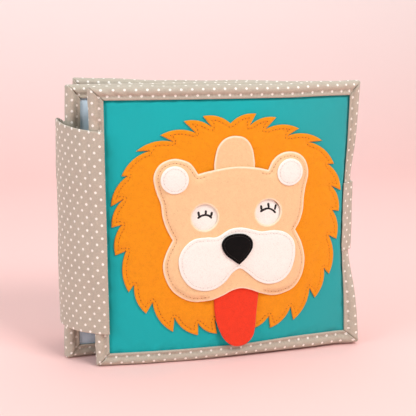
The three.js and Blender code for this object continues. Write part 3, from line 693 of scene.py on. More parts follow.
# A band along a plan line: its outer face on the line, its cloth on the line's left
def makeBand(name, line, low, high, look, lean=None):
    way = np.gradient(line, axis=0)
    way /= np.linalg.norm(way, axis=1)[:, None]
    left = leftOf(way)
    run, rim = runOf(line), np.array(bandLook["rim"])
    between = np.arange(low + bandLook["rimTo"], high - 3, look["step"])
    heights = np.concatenate([low + rim, between, high - rim[::-1]])
    rows, count = len(heights), len(line)
    tips, thinnest = quarterRound(look["endOpen"](run), bandLook["round"]), bandLook["thinnest"]
    outer, inner = [], []
    for z in heights:
        inset, level = min(z - low, high - z), np.full(count, z)
        seam = bell(inset - look["seam"], bandLook["seamWidth"]) if look.get("seam") else 0
        full = look["thick"] * (thinnest + (1 - thinnest) * quarterRound(inset, bandLook["round"]) * tips)
        wave = waves(run, level, look["waveLength"], look["seed"]) * look["wave"]
        fine = waves(run, level, bandLook["fineWave"], look["seed"] + 2) * bandLook["fine"]
        middle = np.column_stack([line + left * (look["thick"] / 2 - wave - fine)[:, None], level])
        if lean is not None:
            middle = middle + lean(line, z)
        puff = np.column_stack([left * (full / 2 - bandLook["seamDip"] * seam)[:, None], np.zeros(count)])
        outer.append(middle - puff)
        inner.append(middle + puff)
    points = np.concatenate([*outer, *inner]) * mm
    front, others = slabFaces(rows, count)
    band = makeObject(name, points, front + others, look["material"])
    first, second = look.get("cloth", (0, 0))
    cloth = [np.tile(run, 2 * rows) + first, np.tile(np.repeat(heights, count), 2) + second]
    cloth = np.stack(cloth if look.get("lengthwise") else cloth[::-1], 1)
    setUv(band, lambda corner, face: cloth[corner])
    return band


# The strap's plan: points round the front cover's edge, and shares of the way from the rear
# fold to the front fold with how far the belly stands out there
wrapPoints = [(-1.9, 3.3), (0.0, 4.8), (2.1, 5.85), (4.3, 6.65), (7.2, 7.4), (9.9, 7.9)]
bellyShares = [
    (0.05, 0.2), (0.126, 0.41), (0.215, 0.62), (0.324, 0.82), (0.443, 0.96), (0.543, 1.01),
    (0.626, 0.995), (0.688, 0.935), (0.757, 0.83), (0.827, 0.68), (0.903, 0.46), (0.964, 0.2),
]
strapLook = {
    "low": 25, "high": 169, "off": 6.25, "wrap": 1.3, "belly": 18.3, "taper": 1.3, "lift": 0.176, "thick": 1.5,
    "step": 1.7, "material": cottonDots, "waveLength": 60, "wave": 0.35, "seed": 71, "lengthwise": True,
    "rearLeg": (9.7, 3.33), "leastLift": 0.3, "liftTo": 34, "frontLean": 0.9, "frontReach": 0.12, "dots": 5.8,
}


def strapPoints():
    off, wrap = strapLook["off"], strapLook["wrap"]
    frontLeg = [onPlan("front", *point) for point in wrapPoints]
    rearLeg = [onPlan("back", along, -1.01 * off) for along in strapLook["rearLeg"]]
    rearFold = onPlan("back", -0.8 * wrap, -0.96 * off)
    way = frontLeg[0] - rearFold
    out = np.array([way[1], -way[0]]) / np.linalg.norm(way)
    belly = [rearFold + way * a + out * d * strapLook["belly"] for a, d in bellyShares]
    return [*rearLeg, rearFold, *belly, *frontLeg], rearFold, frontLeg[0]


points, rearFold, frontFold = strapPoints()
strapLine = splineThrough(points, 0.8)
frontLine = np.array(points[-len(wrapPoints) :])


# The belly leans in as it rises and its top edge stands higher towards the left
def strapLean(line, z):
    share = np.clip((line[:, 1] - frontFold[1]) / (rearFold[1] - frontFold[1]), 0, 1)
    rise = (z - strapLook["low"]) / (strapLook["high"] - strapLook["low"])
    behind = line[:, 1] - frontLine[:, 1].min()
    higher = strapLook["leastLift"] + strapLook["lift"] * np.minimum(behind, strapLook["liftTo"])
    lift = higher * smooth(2.2 * (1 - share))
    outward = strapLook["frontLean"] * smooth(1 - share / strapLook["frontReach"])
    inward = strapLook["taper"] * np.sin(math.pi * share) - outward
    return np.column_stack([inward * rise, 0 * share, lift * rise])


def nearest(line, point):
    return int(np.argmin(np.linalg.norm(line - point, axis=1)))


rearAt, frontAt = nearest(strapLine, rearFold), nearest(strapLine, frontFold)
middleAt = (rearAt + frontAt) // 2
strapRun = runOf(strapLine)
# Each half of the strap is open at its sewn end and joined in the middle of the belly
halves = {
    "strap_rear": {"from": 0, "to": middleAt + 1, "bodies": ("back", "spine"), "fold": rearFold,
                   "nodes": ["strap_rear_leg"], "endOpen": lambda run: run},
    "strap_front": {"from": middleAt, "to": len(strapLine), "bodies": ("spine", "front"), "fold": frontFold,
                    "nodes": ["strap_spine_band", "strap_front_leg"], "endOpen": lambda run: run[-1] - run},
}
for name, half in halves.items():
    part = strapLine[half["from"] : half["to"]]
    dots = strapLook["dots"]
    look = {**strapLook, "endOpen": half["endOpen"], "cloth": (strapRun[half["from"]] - dots, dots)}
    band = makeBand(name, part, strapLook["low"], strapLook["high"], look, strapLean)
    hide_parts(*half["nodes"])
    at = nearest(part, half["fold"])
    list(half["bodies"])
    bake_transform(band)
print("strap")

tabLook = {
    "low": 74, "high": 126, "off": 6.45, "wrap": 1.5, "length": 31, "slant": 2, "thick": 1.4, "step": 1.2,
    "material": cottonDots, "waveLength": 30, "wave": 0.12, "seed": 81, "seam": 2.6, "lengthwise": True,
    "endOpen": openEnds, "cloth": (1.0, 2.0), "middle": 100.0,
}
# The tab's sewn end round the front cover's edge, as shares of its wrap and offset
tabWrapShares = [(-1.05, 0.56), (-0.2, 0.83), (1.1, 0.985), (2.8, 1.02)]


# A place in plan on the front's border beside the tab, moved as the soft cloth gives
def besideTab(along, off):
    along, _, off = settle("front", along, tabLook["middle"], off)
    return onPlan("front", float(along), float(off))


tabFold = onPlan("front", 200 + tabLook["wrap"] * 1.1, tabLook["off"] * 0.25)
drawn = besideTab(200 + tabLook["wrap"] * 1.1, tabLook["off"] * 0.25) - tabFold
slant = math.radians(tabLook["slant"])
tabWay = np.array([math.sin(slant), math.cos(slant)])
tabInward = np.array([-tabWay[1], tabWay[0]])
tabFront = [besideTab(200 - out * tabLook["wrap"], share * tabLook["off"]) for out, share in tabWrapShares]
tabFront += [besideTab(192.0, 1.0 * tabLook["off"]), besideTab(188.6, 0.92 * tabLook["off"])]


# A place on the flap behind its fold, or that far inside it
def flapPlace(share, inward=0.0):
    return tabFold + tabWay * tabLook["length"] * share + tabInward * inward + drawn * (1 - float(smooth(share)))


tabBack = [flapPlace(share) for share in (0.32, 0.5, 0.75, 1)]
tabLine = splineThrough([*tabFront[::-1], tabFold + drawn, *tabBack], 0.6)
tab = makeBand("closing_tab", tabLine, tabLook["low"], tabLook["high"], tabLook)
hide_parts("tab_sewn_end", "tab_flap")
at = nearest(tabLine, tabFold + drawn)
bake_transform(tab)
runOf(tabLine)[-1] * mm

# The loop tab stands inside the flap, behind both patches, and turns in round the back cover
loopLook = {
    **tabLook, "thick": 1.2, "wave": 0.05, "seed": 85, "cloth": (2.0, 2.0), "inward": 3.5, "reach": 6,
    "standing": (0.42, 0.56, 0.71, 0.86), "sewnTo": (190.3, -1.03),
    "corner": ((1.22, -0.42), (0.85, -0.75), (0.4, -0.95), (0, -1.03), (-0.4, -1.03)),
}
loopShares = [(200 + out * loopLook["reach"], off) for out, off in loopLook["corner"]] + [loopLook["sewnTo"]]
standing = [flapPlace(share, loopLook["inward"]) for share in loopLook["standing"]]
loopLine = splineThrough([*standing, *[onPlan("back", along, off * tabLook["off"]) for along, off in loopShares]], 0.6)
loopTab = makeBand("rear_tab", loopLine, tabLook["low"], tabLook["high"], loopLook)
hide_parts("loop_tab")
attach(loopTab, "back")
runOf(loopLine)[-1] * mm


patchLook = {
    "height": 44, "length": 12, "fromEnd": 4, "thick": 0.7, "step": 1.5, "material": nylonPile,
    "waveLength": 20, "wave": 0.04, "endOpen": openEnds,
}


# A patch with rounded corners between the two tabs
def makePatch(name, inward, nodeName, body, seed):
    height, length, last = patchLook["height"], patchLook["length"], tabLook["length"] - patchLook["fromEnd"]
    shares = np.linspace((last - length) / tabLook["length"], last / tabLook["length"], 5)
    line = splineThrough([flapPlace(share, inward) for share in shares], 0.8)
    low, high = tabLook["middle"] - height / 2, tabLook["middle"] + height / 2
    patch = makeBand(name, line, low, high, {**patchLook, "seed": seed})
    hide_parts(nodeName)
    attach(patch, body)


makePatch("hook_pile", 1.5, "hook_patch", "tab", 91)
makePatch("loop_pile", 2.5, "loop_patch", "back", 95)

# The tape between the page's spine edge and the strap.
tapeLook = {
    "low": 25, "high": 165, "side": 0.15, "short": 1.8, "thick": 1.1, "step": 2.0, "material": cottonCream,
    "waveLength": 25, "wave": 0.05, "seed": 99, "endOpen": lambda run: openEnds(run) + 0.4,
}
low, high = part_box("page_hinge_tape")
tapeSide = low.y / mm + tapeLook["side"]
tapeLine = evenly([(high.x / mm, tapeSide), (low.x / mm + tapeLook["short"], tapeSide)], 0.5)


# The tape's inner end follows the leaning page
def tapeLean(line, z):
    share = (line[:, 0] - line[:, 0].min()) / np.ptp(line[:, 0])
    return np.column_stack([pageLean(np.full(len(line), z)) * share, 0 * share, 0 * share])


tape = makeBand("page_tape", tapeLine[::-1], tapeLook["low"], tapeLook["high"], tapeLook, tapeLean)
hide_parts("page_hinge_tape")
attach(tape, "spine")
print("tabs")


# Felt shapes
def onFace(shares):
    inner = panel["size"] - 2 * panel["border"]
    return panel["border"] + np.asarray(shares, float) * inner


def runThrough(shares, spacing=0.8):
    return splineThrough(onFace(shares), spacing)


maneNotch = (0.483, 0.907)
maneLeft = [
    (0.374, 0.937, 0.407, 0.895), (0.299, 0.919, 0.344, 0.874), (0.208, 0.867, 0.256, 0.842),
    (0.115, 0.807, 0.166, 0.808), (0.058, 0.712, 0.08, 0.712), (0.016, 0.594, 0.063, 0.621),
    (0.017, 0.511, 0.055, 0.521), (0.029, 0.399, 0.07, 0.416), (0.078, 0.249, 0.099, 0.278),
    (0.145, 0.159, 0.171, 0.203), (0.252, 0.076, 0.258, 0.134), (0.354, 0.055, 0.354, 0.105),
    (0.434, 0.055, 0.424, 0.115), (0.5, 0.06, 0.517, 0.09),
]
maneRight = [
    (0.588, 0.942, 0.562, 0.897), (0.671, 0.925, 0.628, 0.881), (0.768, 0.878, 0.721, 0.852),
    (0.872, 0.825, 0.813, 0.822), (0.929, 0.728, 0.902, 0.729), (0.966, 0.617, 0.921, 0.638),
    (0.961, 0.531, 0.931, 0.536), (0.954, 0.413, 0.919, 0.432), (0.924, 0.267, 0.901, 0.293),
    (0.863, 0.17, 0.838, 0.214), (0.766, 0.084, 0.753, 0.141), (0.663, 0.059, 0.656, 0.11),
    (0.565, 0.06, 0.545, 0.095),
]
headRuns = [
    [(0.353, 0.713), (0.416, 0.729), (0.5, 0.739), (0.58, 0.733), (0.636, 0.72)],
    [(0.636, 0.72), (0.652, 0.752), (0.68, 0.778), (0.721, 0.789), (0.765, 0.78), (0.797, 0.75), (0.811, 0.699),
     (0.8, 0.64), (0.795, 0.6), (0.793, 0.55), (0.781, 0.505), (0.762, 0.471)],
    [(0.762, 0.471), (0.793, 0.413), (0.808, 0.345), (0.797, 0.279), (0.763, 0.229), (0.71, 0.206), (0.661, 0.203),
     (0.61, 0.219), (0.568, 0.236), (0.528, 0.245), (0.49, 0.238), (0.45, 0.219), (0.4, 0.203), (0.343, 0.198),
     (0.296, 0.212), (0.252, 0.245), (0.224, 0.293), (0.212, 0.35), (0.225, 0.403), (0.251, 0.454)],
    [(0.251, 0.454), (0.228, 0.5), (0.213, 0.547), (0.206, 0.6), (0.19, 0.645), (0.179, 0.699), (0.19, 0.737),
     (0.216, 0.763), (0.262, 0.776), (0.312, 0.763), (0.335, 0.742), (0.353, 0.713)],
]
muzzleRing = [
    (0.427, 0.464), (0.387, 0.464), (0.335, 0.459), (0.296, 0.431), (0.274, 0.39), (0.273, 0.35), (0.287, 0.304),
    (0.322, 0.263), (0.371, 0.246), (0.419, 0.252), (0.46, 0.278), (0.489, 0.312), (0.522, 0.329), (0.555, 0.307),
    (0.593, 0.275), (0.64, 0.257), (0.692, 0.263), (0.731, 0.293), (0.753, 0.345), (0.757, 0.4), (0.745, 0.438),
    (0.71, 0.467), (0.663, 0.478), (0.612, 0.476), (0.578, 0.484), (0.529, 0.496), (0.479, 0.492),
]
noseRun = [
    (0.516, 0.347), (0.486, 0.369), (0.459, 0.392), (0.443, 0.427), (0.451, 0.453), (0.475, 0.469), (0.508, 0.474),
    (0.543, 0.468), (0.568, 0.446), (0.571, 0.415), (0.556, 0.387), (0.538, 0.366), (0.516, 0.347),
]
tabRound = [
    (0.416, 0.75), (0.42, 0.779), (0.43, 0.815), (0.45, 0.842), (0.477, 0.856), (0.507, 0.858), (0.536, 0.851),
    (0.559, 0.829), (0.573, 0.797), (0.581, 0.75),
]
tongueRound = [
    (0.416, 0.222), (0.422, 0.139), (0.439, 0.074), (0.464, 0.029), (0.496, 0.004), (0.527, 0), (0.557, 0.01),
    (0.583, 0.04), (0.593, 0.082), (0.598, 0.137), (0.606, 0.222),
]
discSpots = {"left": (0.259, 0.695), "right": (0.724, 0.709)}
eyeSpots = {"left": (0.377, 0.543), "right": (0.638, 0.551)}
discRadius, windowRadius = 9.8, 9.3


maneLook = {"bow": 0.24, "spacing": 0.9}


# One side of the mane: each tuft has a long bowed flank and a short straight one
def maneSide(tufts, turn):
    points, start = [], onFace(maneNotch)
    for tipX, tipY, valleyX, valleyY in tufts:
        tip, valley = onFace((tipX, tipY)), onFace((valleyX, valleyY))
        run = tip - start
        control = (start + tip) / 2 - turn * maneLook["bow"] * np.array([-run[1], run[0]])
        t = np.linspace(0, 1, 24)[:, None]
        flank = (1 - t) ** 2 * start + 2 * t * (1 - t) * control + t * t * tip
        points += [*evenly(flank, maneLook["spacing"])[1:], *evenly([tip, valley], maneLook["spacing"])[1:]]
        start = valley
    return points


def circle(middle, radius, spacing=0.8):
    count = int(2 * math.pi * radius / spacing)
    angles = np.arange(count) * 2 * math.pi / count
    return np.stack([middle[0] + radius * np.cos(angles), middle[1] + radius * np.sin(angles)], 1)


# The outline moved inwards, as pieces of line with the places it can't reach left out
def insetLines(ring, distance):
    ring = np.asarray(ring)
    area = (ring[:, 0] * np.roll(ring[:, 1], -1) - ring[:, 1] * np.roll(ring[:, 0], -1)).sum()
    moved = ring + ringSides(ring) * distance * np.sign(area)
    keep = edgeDistance(moved, ring) > distance * 0.93
    lines, current = [], []
    for point, good in zip(moved, keep):
        if good:
            current.append(point)
        elif current:
            lines.append(current)
            current = []
    if current and lines and keep[0]:
        lines[0] = current + lines[0]
    elif current:
        if keep.all():
            current.append(current[0])
        lines.append(current)
    return [np.array(line) for line in lines if len(line) > 3]


# How far points lie inside a felt's outline and outside its holes
def insetOf(points, rings):
    inset = edgeDistance(points, rings[0])
    for hole in rings[1:]:
        inset = np.minimum(inset, -edgeDistance(points, hole))
    return inset


# Grid points inside the rings, with a row of points beside each ring
def feltPoints(rings, spacing):
    low, high = rings[0].min(0), rings[0].max(0)
    xs, ys = np.arange(low[0], high[0], spacing), np.arange(low[1], high[1], spacing * 0.866)
    gx, gy = np.meshgrid(xs, ys)
    gx = gx + (np.arange(len(ys)) % 2)[:, None] * spacing / 2
    grid = np.stack([gx.ravel(), gy.ravel()], 1)
    beside = []
    for ring in rings:
        side = ringSides(ring) * feltLook["rimRow"]
        beside += [ring + side, ring - side]
    points = np.concatenate([grid, *beside])
    inset = insetOf(points, rings)
    far = inset > feltLook["rimNear"]
    far[: len(grid)] &= inset[: len(grid)] > feltLook["gridNear"]
    return points[far]


# How far a felt's face stands off its flat form: the slack and the puffed middle
def feltSwell(look, along, up, inset):
    loose = waves(along, up, 16, look["seed"]) * look["wave"] * smooth(inset / 3)
    return loose, look["puff"] * smooth(inset / look["puffReach"])


# Heights of a felt's top and underside, with rounded cut edges, a dimple at each stitch and a
# shallow valley along the seam
def feltHeights(look, flat, inset):
    along, up = flat.T
    thick = look["thick"]
    rounding = quarterRound(inset, feltLook["edgeRound"])
    dimple = np.zeros(len(flat))
    for x, y in (spot for row in look["rows"] for spot in row):
        near = np.flatnonzero((abs(along - x) < feltLook["dimpleReach"]) & (abs(up - y) < feltLook["dimpleReach"]))
        square = (along[near] - x) ** 2 + (up[near] - y) ** 2
        dimple[near] = np.maximum(dimple[near], np.exp(-square / feltLook["seamWidth"]))
    seam = bell(inset - look["seam"], feltLook["seamWidth"]) if look["rows"] else 0
    loose, puff = feltSwell(look, along, up, inset)
    base = look["base"](along, up, inset)
    top = base + thick * (0.5 + 0.5 * rounding) + loose + puff
    top = top - feltLook["dimple"] * dimple - feltLook["valley"] * seam
    return top, base + thick * (0.5 - 0.5 * rounding) + np.minimum(loose, 0)


# A felt sheet from its outline and holes, closed below
def makeFelt(name, look):
    rings = [look["ring"], *look.get("holes", ())]
    flat = np.concatenate([*rings, feltPoints(rings, look["grid"])])
    edges, start = [], 0
    for ring in rings:
        edges += [(start + i, start + (i + 1) % len(ring)) for i in range(len(ring))]
        start += len(ring)
    solved = delaunay_2d_cdt([Vector(p) for p in flat], edges, [], 0, 1e-5)
    flat = np.array([p[:] for p in solved[0]])
    triangles = np.array(solved[2])
    triangles = triangles[insetOf(flat[triangles].mean(1), rings) > 0]
    inset = np.clip(insetOf(flat, rings), 0, None)
    inset[inset < 1e-3] = 0
    top, bottom = feltHeights(look, flat, inset)
    used = np.unique(triangles)
    below = used[inset[used] > 0]
    topIndex = np.full(len(flat), -1)
    topIndex[used] = np.arange(len(used))
    lowIndex = topIndex.copy()
    lowIndex[below] = len(used) + np.arange(len(below))
    points = np.concatenate([np.column_stack([flat, top])[used], np.column_stack([flat, bottom])[below]])
    faces = [*topIndex[triangles], *lowIndex[triangles][:, ::-1]]
    felted = makeObject(name, stand("front", points), faces, look["material"])
    setPointValue(felted, "inset", np.concatenate([inset[used], inset[below]]))
    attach(felted, look["body"])
    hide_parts(look["node"])


# Felt thicknesses and the small gaps between layers, and then their heights off the middle plane
layerLook = {
    "felt": 1.2, "thinFelt": 1.15, "overCloth": 0.12, "overMane": 0.12, "headHem": 0.05, "overSlider": 0.46,
    "overHead": 0.06,
}


def clothTop(along, up, inset=None):
    return faceAt(along, up, panelLooks["front_cover"]["seed"]) + layerLook["overCloth"]


def maneTop(along, up):
    return clothTop(along, up) + layerLook["felt"]


maneRing = np.array([onFace(maneNotch), *maneSide(maneLeft, 1), *maneSide(maneRight, -1)[::-1]])
headRing = np.concatenate([runThrough(run)[1:] for run in headRuns])
muzzleOutline = splineThrough(onFace(muzzleRing), 0.8, closed=True)[:-1]
noseOutline = runThrough(noseRun, 0.6)[:-1]
eyeMiddles = {side: onFace(spot) for side, spot in eyeSpots.items()}
windows = [circle(middle, windowRadius)[::-1] for middle in eyeMiddles.values()]

# The slider lies straight from bottom to top, so that it moves without bending: in each column
# it takes the mane's highest place along the slider
slideRange = {"columns": (20.0, 181.0, 2.0), "rows": (66, 150, 6)}
slideColumns = np.arange(*slideRange["columns"])
maneHeights = [maneTop(slideColumns, np.full(len(slideColumns), z)) for z in range(*slideRange["rows"])]
slideHeights = np.max(maneHeights, axis=0)


def slideBase(along, up, inset=None):
    return np.interp(along, slideColumns, slideHeights) + layerLook["overMane"]


def slideTop(along, up):
    return slideBase(along, up) + layerLook["thinFelt"]


# The head lies on the mane at its sewn edge and rises over the slider inside it
headLook = {"hemReach": 7, "passageHalf": 16, "passageEase": 11}


def headBase(along, up, inset=None):
    inside = edgeDistance(np.stack([along, up], 1), headRing)
    past = abs(along - onFace(0.505)) - headLook["passageHalf"]
    passage = 1 - smooth(past / headLook["passageEase"])
    share = np.clip(smooth(inside / headLook["hemReach"]) + passage, 0, 1)
    low = maneTop(along, up) + layerLook["headHem"]
    return low + (np.maximum(slideTop(along, up) + layerLook["overSlider"], low) - low) * share


def headTop(along, up, inset=None):
    return headBase(along, up) + layerLook["thinFelt"] + layerLook["overHead"]


def muzzleTop(along, up, inset=None):
    inside = edgeDistance(np.stack([along, up], 1), muzzleOutline)
    return headTop(along, up) + layerLook["thinFelt"] + muzzlePuff * smooth(inside / feltLook["puffReach"])


# The tongue comes out under the chin and hangs free, its tip standing off the cover
tongueLook = {"chin": 41, "length": 31, "curl": 1.5, "belly": 0.6, "cup": 0.004}


def tongueBase(along, up, inset=None):
    drop = np.clip((tongueLook["chin"] - up) / tongueLook["length"], 0, 1)
    curl = tongueLook["curl"] * drop**1.6 + tongueLook["belly"] * np.sin(drop * math.pi)
    cupped = tongueLook["cup"] * (along - onFace(0.51)) ** 2 * np.sin(drop * math.pi)
    return slideBase(along, up) + curl - cupped


# The slider: a pull tab, the panel behind the windows and the tongue
sliderLook = {"travel": 16, "margin": 1.6, "gap": 0.3, "lowCorner": 6.0, "highCorner": 9}
reach = windowRadius + sliderLook["margin"]
panelLow = eyeMiddles["left"] - (reach, reach + sliderLook["travel"])
panelHigh = eyeMiddles["right"] + reach


# A rounded end with straight sides up or down to the eye panel
def closeAt(run, height):
    corners = [run[-1], (run[-1][0], height), (run[0][0], height), run[0]]
    return np.concatenate([run, evenly(corners, 0.8)[1:-1]])


def eyePanelRing():
    (left, bottom), (right, top) = panelLow, panelHigh
    low, high = sliderLook["lowCorner"], sliderLook["highCorner"]
    corners = [(left + low, bottom), (right - low, bottom), (right, bottom + low), (right, top - high)]
    corners += [(right - high, top), (left + high, top), (left, top - high), (left, bottom + low)]
    return evenly([*corners, corners[0]], 0.9)[:-1]


# Whether a stitch of the head lies outside the two open passages of the slider
def clearOfSlider(spot):
    along, up = spot
    brow = onFace(0.4) < along < onFace(0.6) and up > onFace(0.6)
    chin = onFace(0.405) < along < onFace(0.61) and up < onFace(0.3)
    return not brow and not chin


feltLook = {
    "thick": layerLook["felt"], "grid": 1.2, "wave": 0.12, "puff": 0, "puffReach": 9, "seam": None, "pitch": 2.7,
    "body": "front", "held": "stretched", "rimRow": 0.4, "rimNear": 0.33, "gridNear": 0.8,
    "edgeRound": 0.8, "dimple": 0.3, "dimpleReach": 2.4, "valley": 0.12, "seamWidth": 1.1,
}
muzzlePuff = 0.35
orange = {"material": feltOrange, "slot": "orange_felt", "thread": "orangeThread", "hole": "needleHoleShadeInOrange"}
peach = {"material": feltPeach, "slot": "peach_felt", "thread": "peachThread", "hole": "needleHoleShadeInPeach"}
white = {"material": feltWhite, "slot": "white_felt", "thread": "whiteThread", "hole": "needleHoleShadeInWhite"}
black = {"material": feltBlack, "slot": "black_felt", "thread": "blackThread", "hole": "blackThread"}
thin = {"thick": layerLook["thinFelt"]}
sliding = {**thin, "base": slideBase, "body": "slider", "held": "laid", "on": "felt_mane"}
felts = {
    "felt_mane": {**orange, "ring": maneRing, "base": clothTop, "node": "mane", "on": "front_cover_pad",
                  "seed": 41, "wave": 0.2, "seam": 3.0},
    "felt_head": {**peach, **thin, "ring": headRing, "holes": windows, "base": headBase, "node": "lion_head",
                  "on": "felt_mane", "seed": 43, "wave": 0.16, "seam": 3.0, "keep": clearOfSlider},
    "felt_muzzle": {**white, **thin, "ring": muzzleOutline, "base": headTop, "node": "muzzle", "on": "felt_head",
                    "seed": 47, "puff": muzzlePuff, "seam": 2.4},
    "felt_nose": {**black, "ring": noseOutline, "base": muzzleTop, "node": "nose", "on": "felt_muzzle",
                  "seed": 53, "wave": 0.08, "puff": 0.4, "puffReach": 5, "seam": 1.9, "pitch": 2.2, "grid": 0.8},
}
for side, spot in discSpots.items():
    felts[f"felt_disc_{side}"] = {
        **white, "ring": circle(onFace(spot), discRadius), "base": headTop, "node": f"ear_disc_{side}",
        "on": "felt_head", "seed": 59, "wave": 0.08, "puff": 0.2, "seam": 2.0, "pitch": 2.4, "grid": 0.9,
    }
felts["felt_pull_tab"] = {
    **peach, **sliding, "ring": closeAt(runThrough(tabRound), panelHigh[1] + sliderLook["gap"]),
    "node": "slider_tab", "seed": 61,
}
felts["felt_tongue"] = {
    **sliding, "ring": closeAt(runThrough(tongueRound), panelLow[1] - sliderLook["gap"]), "base": tongueBase,
    "material": feltRed, "slot": "red_felt", "node": "tongue", "held": "hung", "seed": 67, "wave": 0.15,
}
felts["felt_eye_panel"] = {**white, **sliding, "ring": eyePanelRing(), "node": "slider_eye_panel", "seed": 69}
for name, look in felts.items():
    look = felts[name] = {**feltLook, **look}
    sewn = insetLines(look["ring"], look["seam"]) if look["seam"] else []
    keep = look.get("keep", lambda spot: True)
    look["rows"] = [np.array([spot for spot in evenly(line, look["pitch"]) if keep(spot)]) for line in sewn]
    makeFelt(name, look)
print("felts")


# Stitches: one small tree sets a thread or the painted shade of a needle hole at every given point. Each
# is a bead stretched to its length, bent down at both ends, turned to its row and lifted off its cloth.
def stitchTree():
    tree = bpy.data.node_groups.new("stitchRow", "GeometryNodeTree")
    add = functools.partial(addNode, tree)
    sizes = [(name, "Float") for name in ("Length", "Radius", "Dip")]
    for name, kind in [("Points", "Geometry"), *sizes, ("Thread", "Material")]:
        tree.interface.new_socket(name, in_out="INPUT", socket_type="NodeSocket" + kind)
    tree.interface.new_socket("Stitches", in_out="OUTPUT", socket_type="NodeSocketGeometry")
    given = add("NodeGroupInput").node.outputs
    spots = add("GeometryNodeMeshToPoints", {"Mesh": given["Points"]})
    bead = add("GeometryNodeMeshUVSphere", {"Segments": 6, "Rings": 7, "Radius": 0.5})
    lying = add("GeometryNodeTransform", {"Geometry": bead, "Rotation": (0, math.pi / 2, 0)})
    scale = add("CombineXYZ", {0: given["Length"], 1: given["Radius"], 2: given["Radius"]})
    strand = add("GeometryNodeTransform", {"Geometry": lying, "Scale": scale})
    x = add("SeparateXYZ", {0: add("GeometryNodeInputPosition")})
    share = add("Math", {0: x, 1: given["Length"]}, operation="DIVIDE")
    square = add("Math", {0: share, 1: share}, operation="MULTIPLY")
    deep = add("Math", {0: given["Dip"], 1: -4.0}, operation="MULTIPLY")
    drop = add("Math", {0: square, 1: deep}, operation="MULTIPLY")
    bent = add("GeometryNodeSetPosition", {"Geometry": strand, "Offset": add("CombineXYZ", {2: drop})})
    way, lift, span = [add("GeometryNodeInputNamedAttribute", {"Name": name}, data_type=kind)
                       for name, kind in (("way", "FLOAT_VECTOR"), ("lift", "FLOAT_VECTOR"), ("span", "FLOAT"))]
    raised = add("FunctionNodeAlignRotationToVector", {"Vector": lift}, axis="Z")
    aimed = add("FunctionNodeAlignRotationToVector", {"Rotation": raised, "Vector": way}, axis="X", pivot_axis="Z")
    size = add("CombineXYZ", {0: span, 1: 1.0, 2: 1.0})
    placed = {"Points": spots, "Instance": bent, "Rotation": aimed, "Scale": size}
    real = add("GeometryNodeRealizeInstances", {"Geometry": add("GeometryNodeInstanceOnPoints", placed)})
    smoothed = add("GeometryNodeSetShadeSmooth", {"Geometry": real})
    coloured = add("GeometryNodeSetMaterial", {"Geometry": smoothed, "Material": given["Thread"]})
    add("NodeGroupOutput", {"Stitches": coloured})
    return tree


stitches = stitchTree()


# Bakes one row of stitches: middles, directions, surface directions and relative lengths
def bakeStitches(name, spots, sizes, material, body, slot):
    mesh = bpy.data.meshes.new(name + "_points")
    mesh.from_pydata([tuple(v) for v in spots["at"]], [], [])
    vector = ("FLOAT_VECTOR", "vector")
    for key, (kind, field) in {"way": vector, "lift": vector, "span": ("FLOAT", "value")}.items():
        values = spots[key].astype(np.float32).ravel()
        mesh.attributes.new(key, kind, "POINT").data.foreach_set(field, values)
    source = addObject(name + "_source", mesh)
    modifier = source.modifiers.new("stitches", "NODES")
    modifier.node_group = stitches
    ids = {s.name: s.identifier for s in stitches.interface.items_tree if s.in_out == "INPUT"}
    for key, value in zip(("Length", "Radius", "Dip"), sizes):
        modifier[ids[key]] = value * mm
    modifier[ids["Thread"]] = material
    evaluated = source.evaluated_get(bpy.context.evaluated_depsgraph_get())
    baked = bpy.data.meshes.new_from_object(evaluated)
    source.modifiers.remove(modifier)
    bpy.data.objects.remove(source)
    piece = addObject(name, baked)
    turnOutward(piece)
    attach(piece, body)


# Stitch places from panel points: each thread runs between two neighbouring holes, and
# points that lie further apart than the longest stitch are not joined
stitchLook = {
    "longest": 6, "bound": (2.1, 0.42, 0.24), "boundOff": 3.98, "felt": (2.0, 0.34, 0.3), "hole": (0.85, 0.55, 0.0),
    "holeSink": 0.1, "holeStray": 0.6, "holeSpans": (0.6, 1.25), "faint": 0.55,
}


def alongLine(plan, line, heightAt, between=0.5, turn=False):
    line = np.asarray(line, float)
    a, b = line[:-1], line[1:]
    near = np.linalg.norm(b - a, axis=1) < stitchLook["longest"]
    a, way = a[near], (b - a)[near]
    middle = a + way * between
    if turn:
        way = leftOf(way)
    way = way / np.linalg.norm(way, axis=1)[:, None]
    off = heightAt(*middle.T)
    at = stand(plan, np.column_stack([middle, off]))
    side = 1.0 if np.mean(off) > 0 else -1.0
    ahead = stand(plan, np.column_stack([middle + way * 0.5, heightAt(*(middle + way * 0.5).T)])) - at
    lift = (stand(plan, np.column_stack([middle, off + 1.0])) - at) * side
    return {"at": at, "way": ahead, "lift": lift, "span": np.ones(len(at))}


def joined(rows):
    return {key: np.concatenate([row[key] for row in rows]) for key in ("at", "way", "lift", "span")}


# Height of a felt's face, with the sewn valley that the stitches lie in
def feltFace(look):
    def heightAt(along, up):
        inset = edgeDistance(np.stack([along, up], 1), look["ring"])
        loose, puff = feltSwell(look, along, up, inset)
        return look["base"](along, up) + look["thick"] + loose + puff - feltLook["valley"]
    return heightAt


# Topstitching that holds the binding, on both faces of every panel
for name, look in panelLooks.items():
    rows = []
    size, inner, pitch = panel["size"], bindingLook["stitchLine"], bindingLook["stitchPitch"]
    marks = np.arange(math.ceil(inner / pitch) * pitch, size - inner, pitch)
    for side in range(4):
        line = turnSide(side, marks, np.full(len(marks), inner), 0 * marks)[:, :2]
        for face in (1, -1):
            off = stitchLook["boundOff"] * face
            rows.append(alongLine(look["plan"], line, lambda along, up: np.full(len(along), off)))
    taupe = threads["taupeThread"]
    bakeStitches(f"{name}_topstitch", joined(rows), stitchLook["bound"], taupe, look["plan"], "taupe_cotton")
print("topstitching")
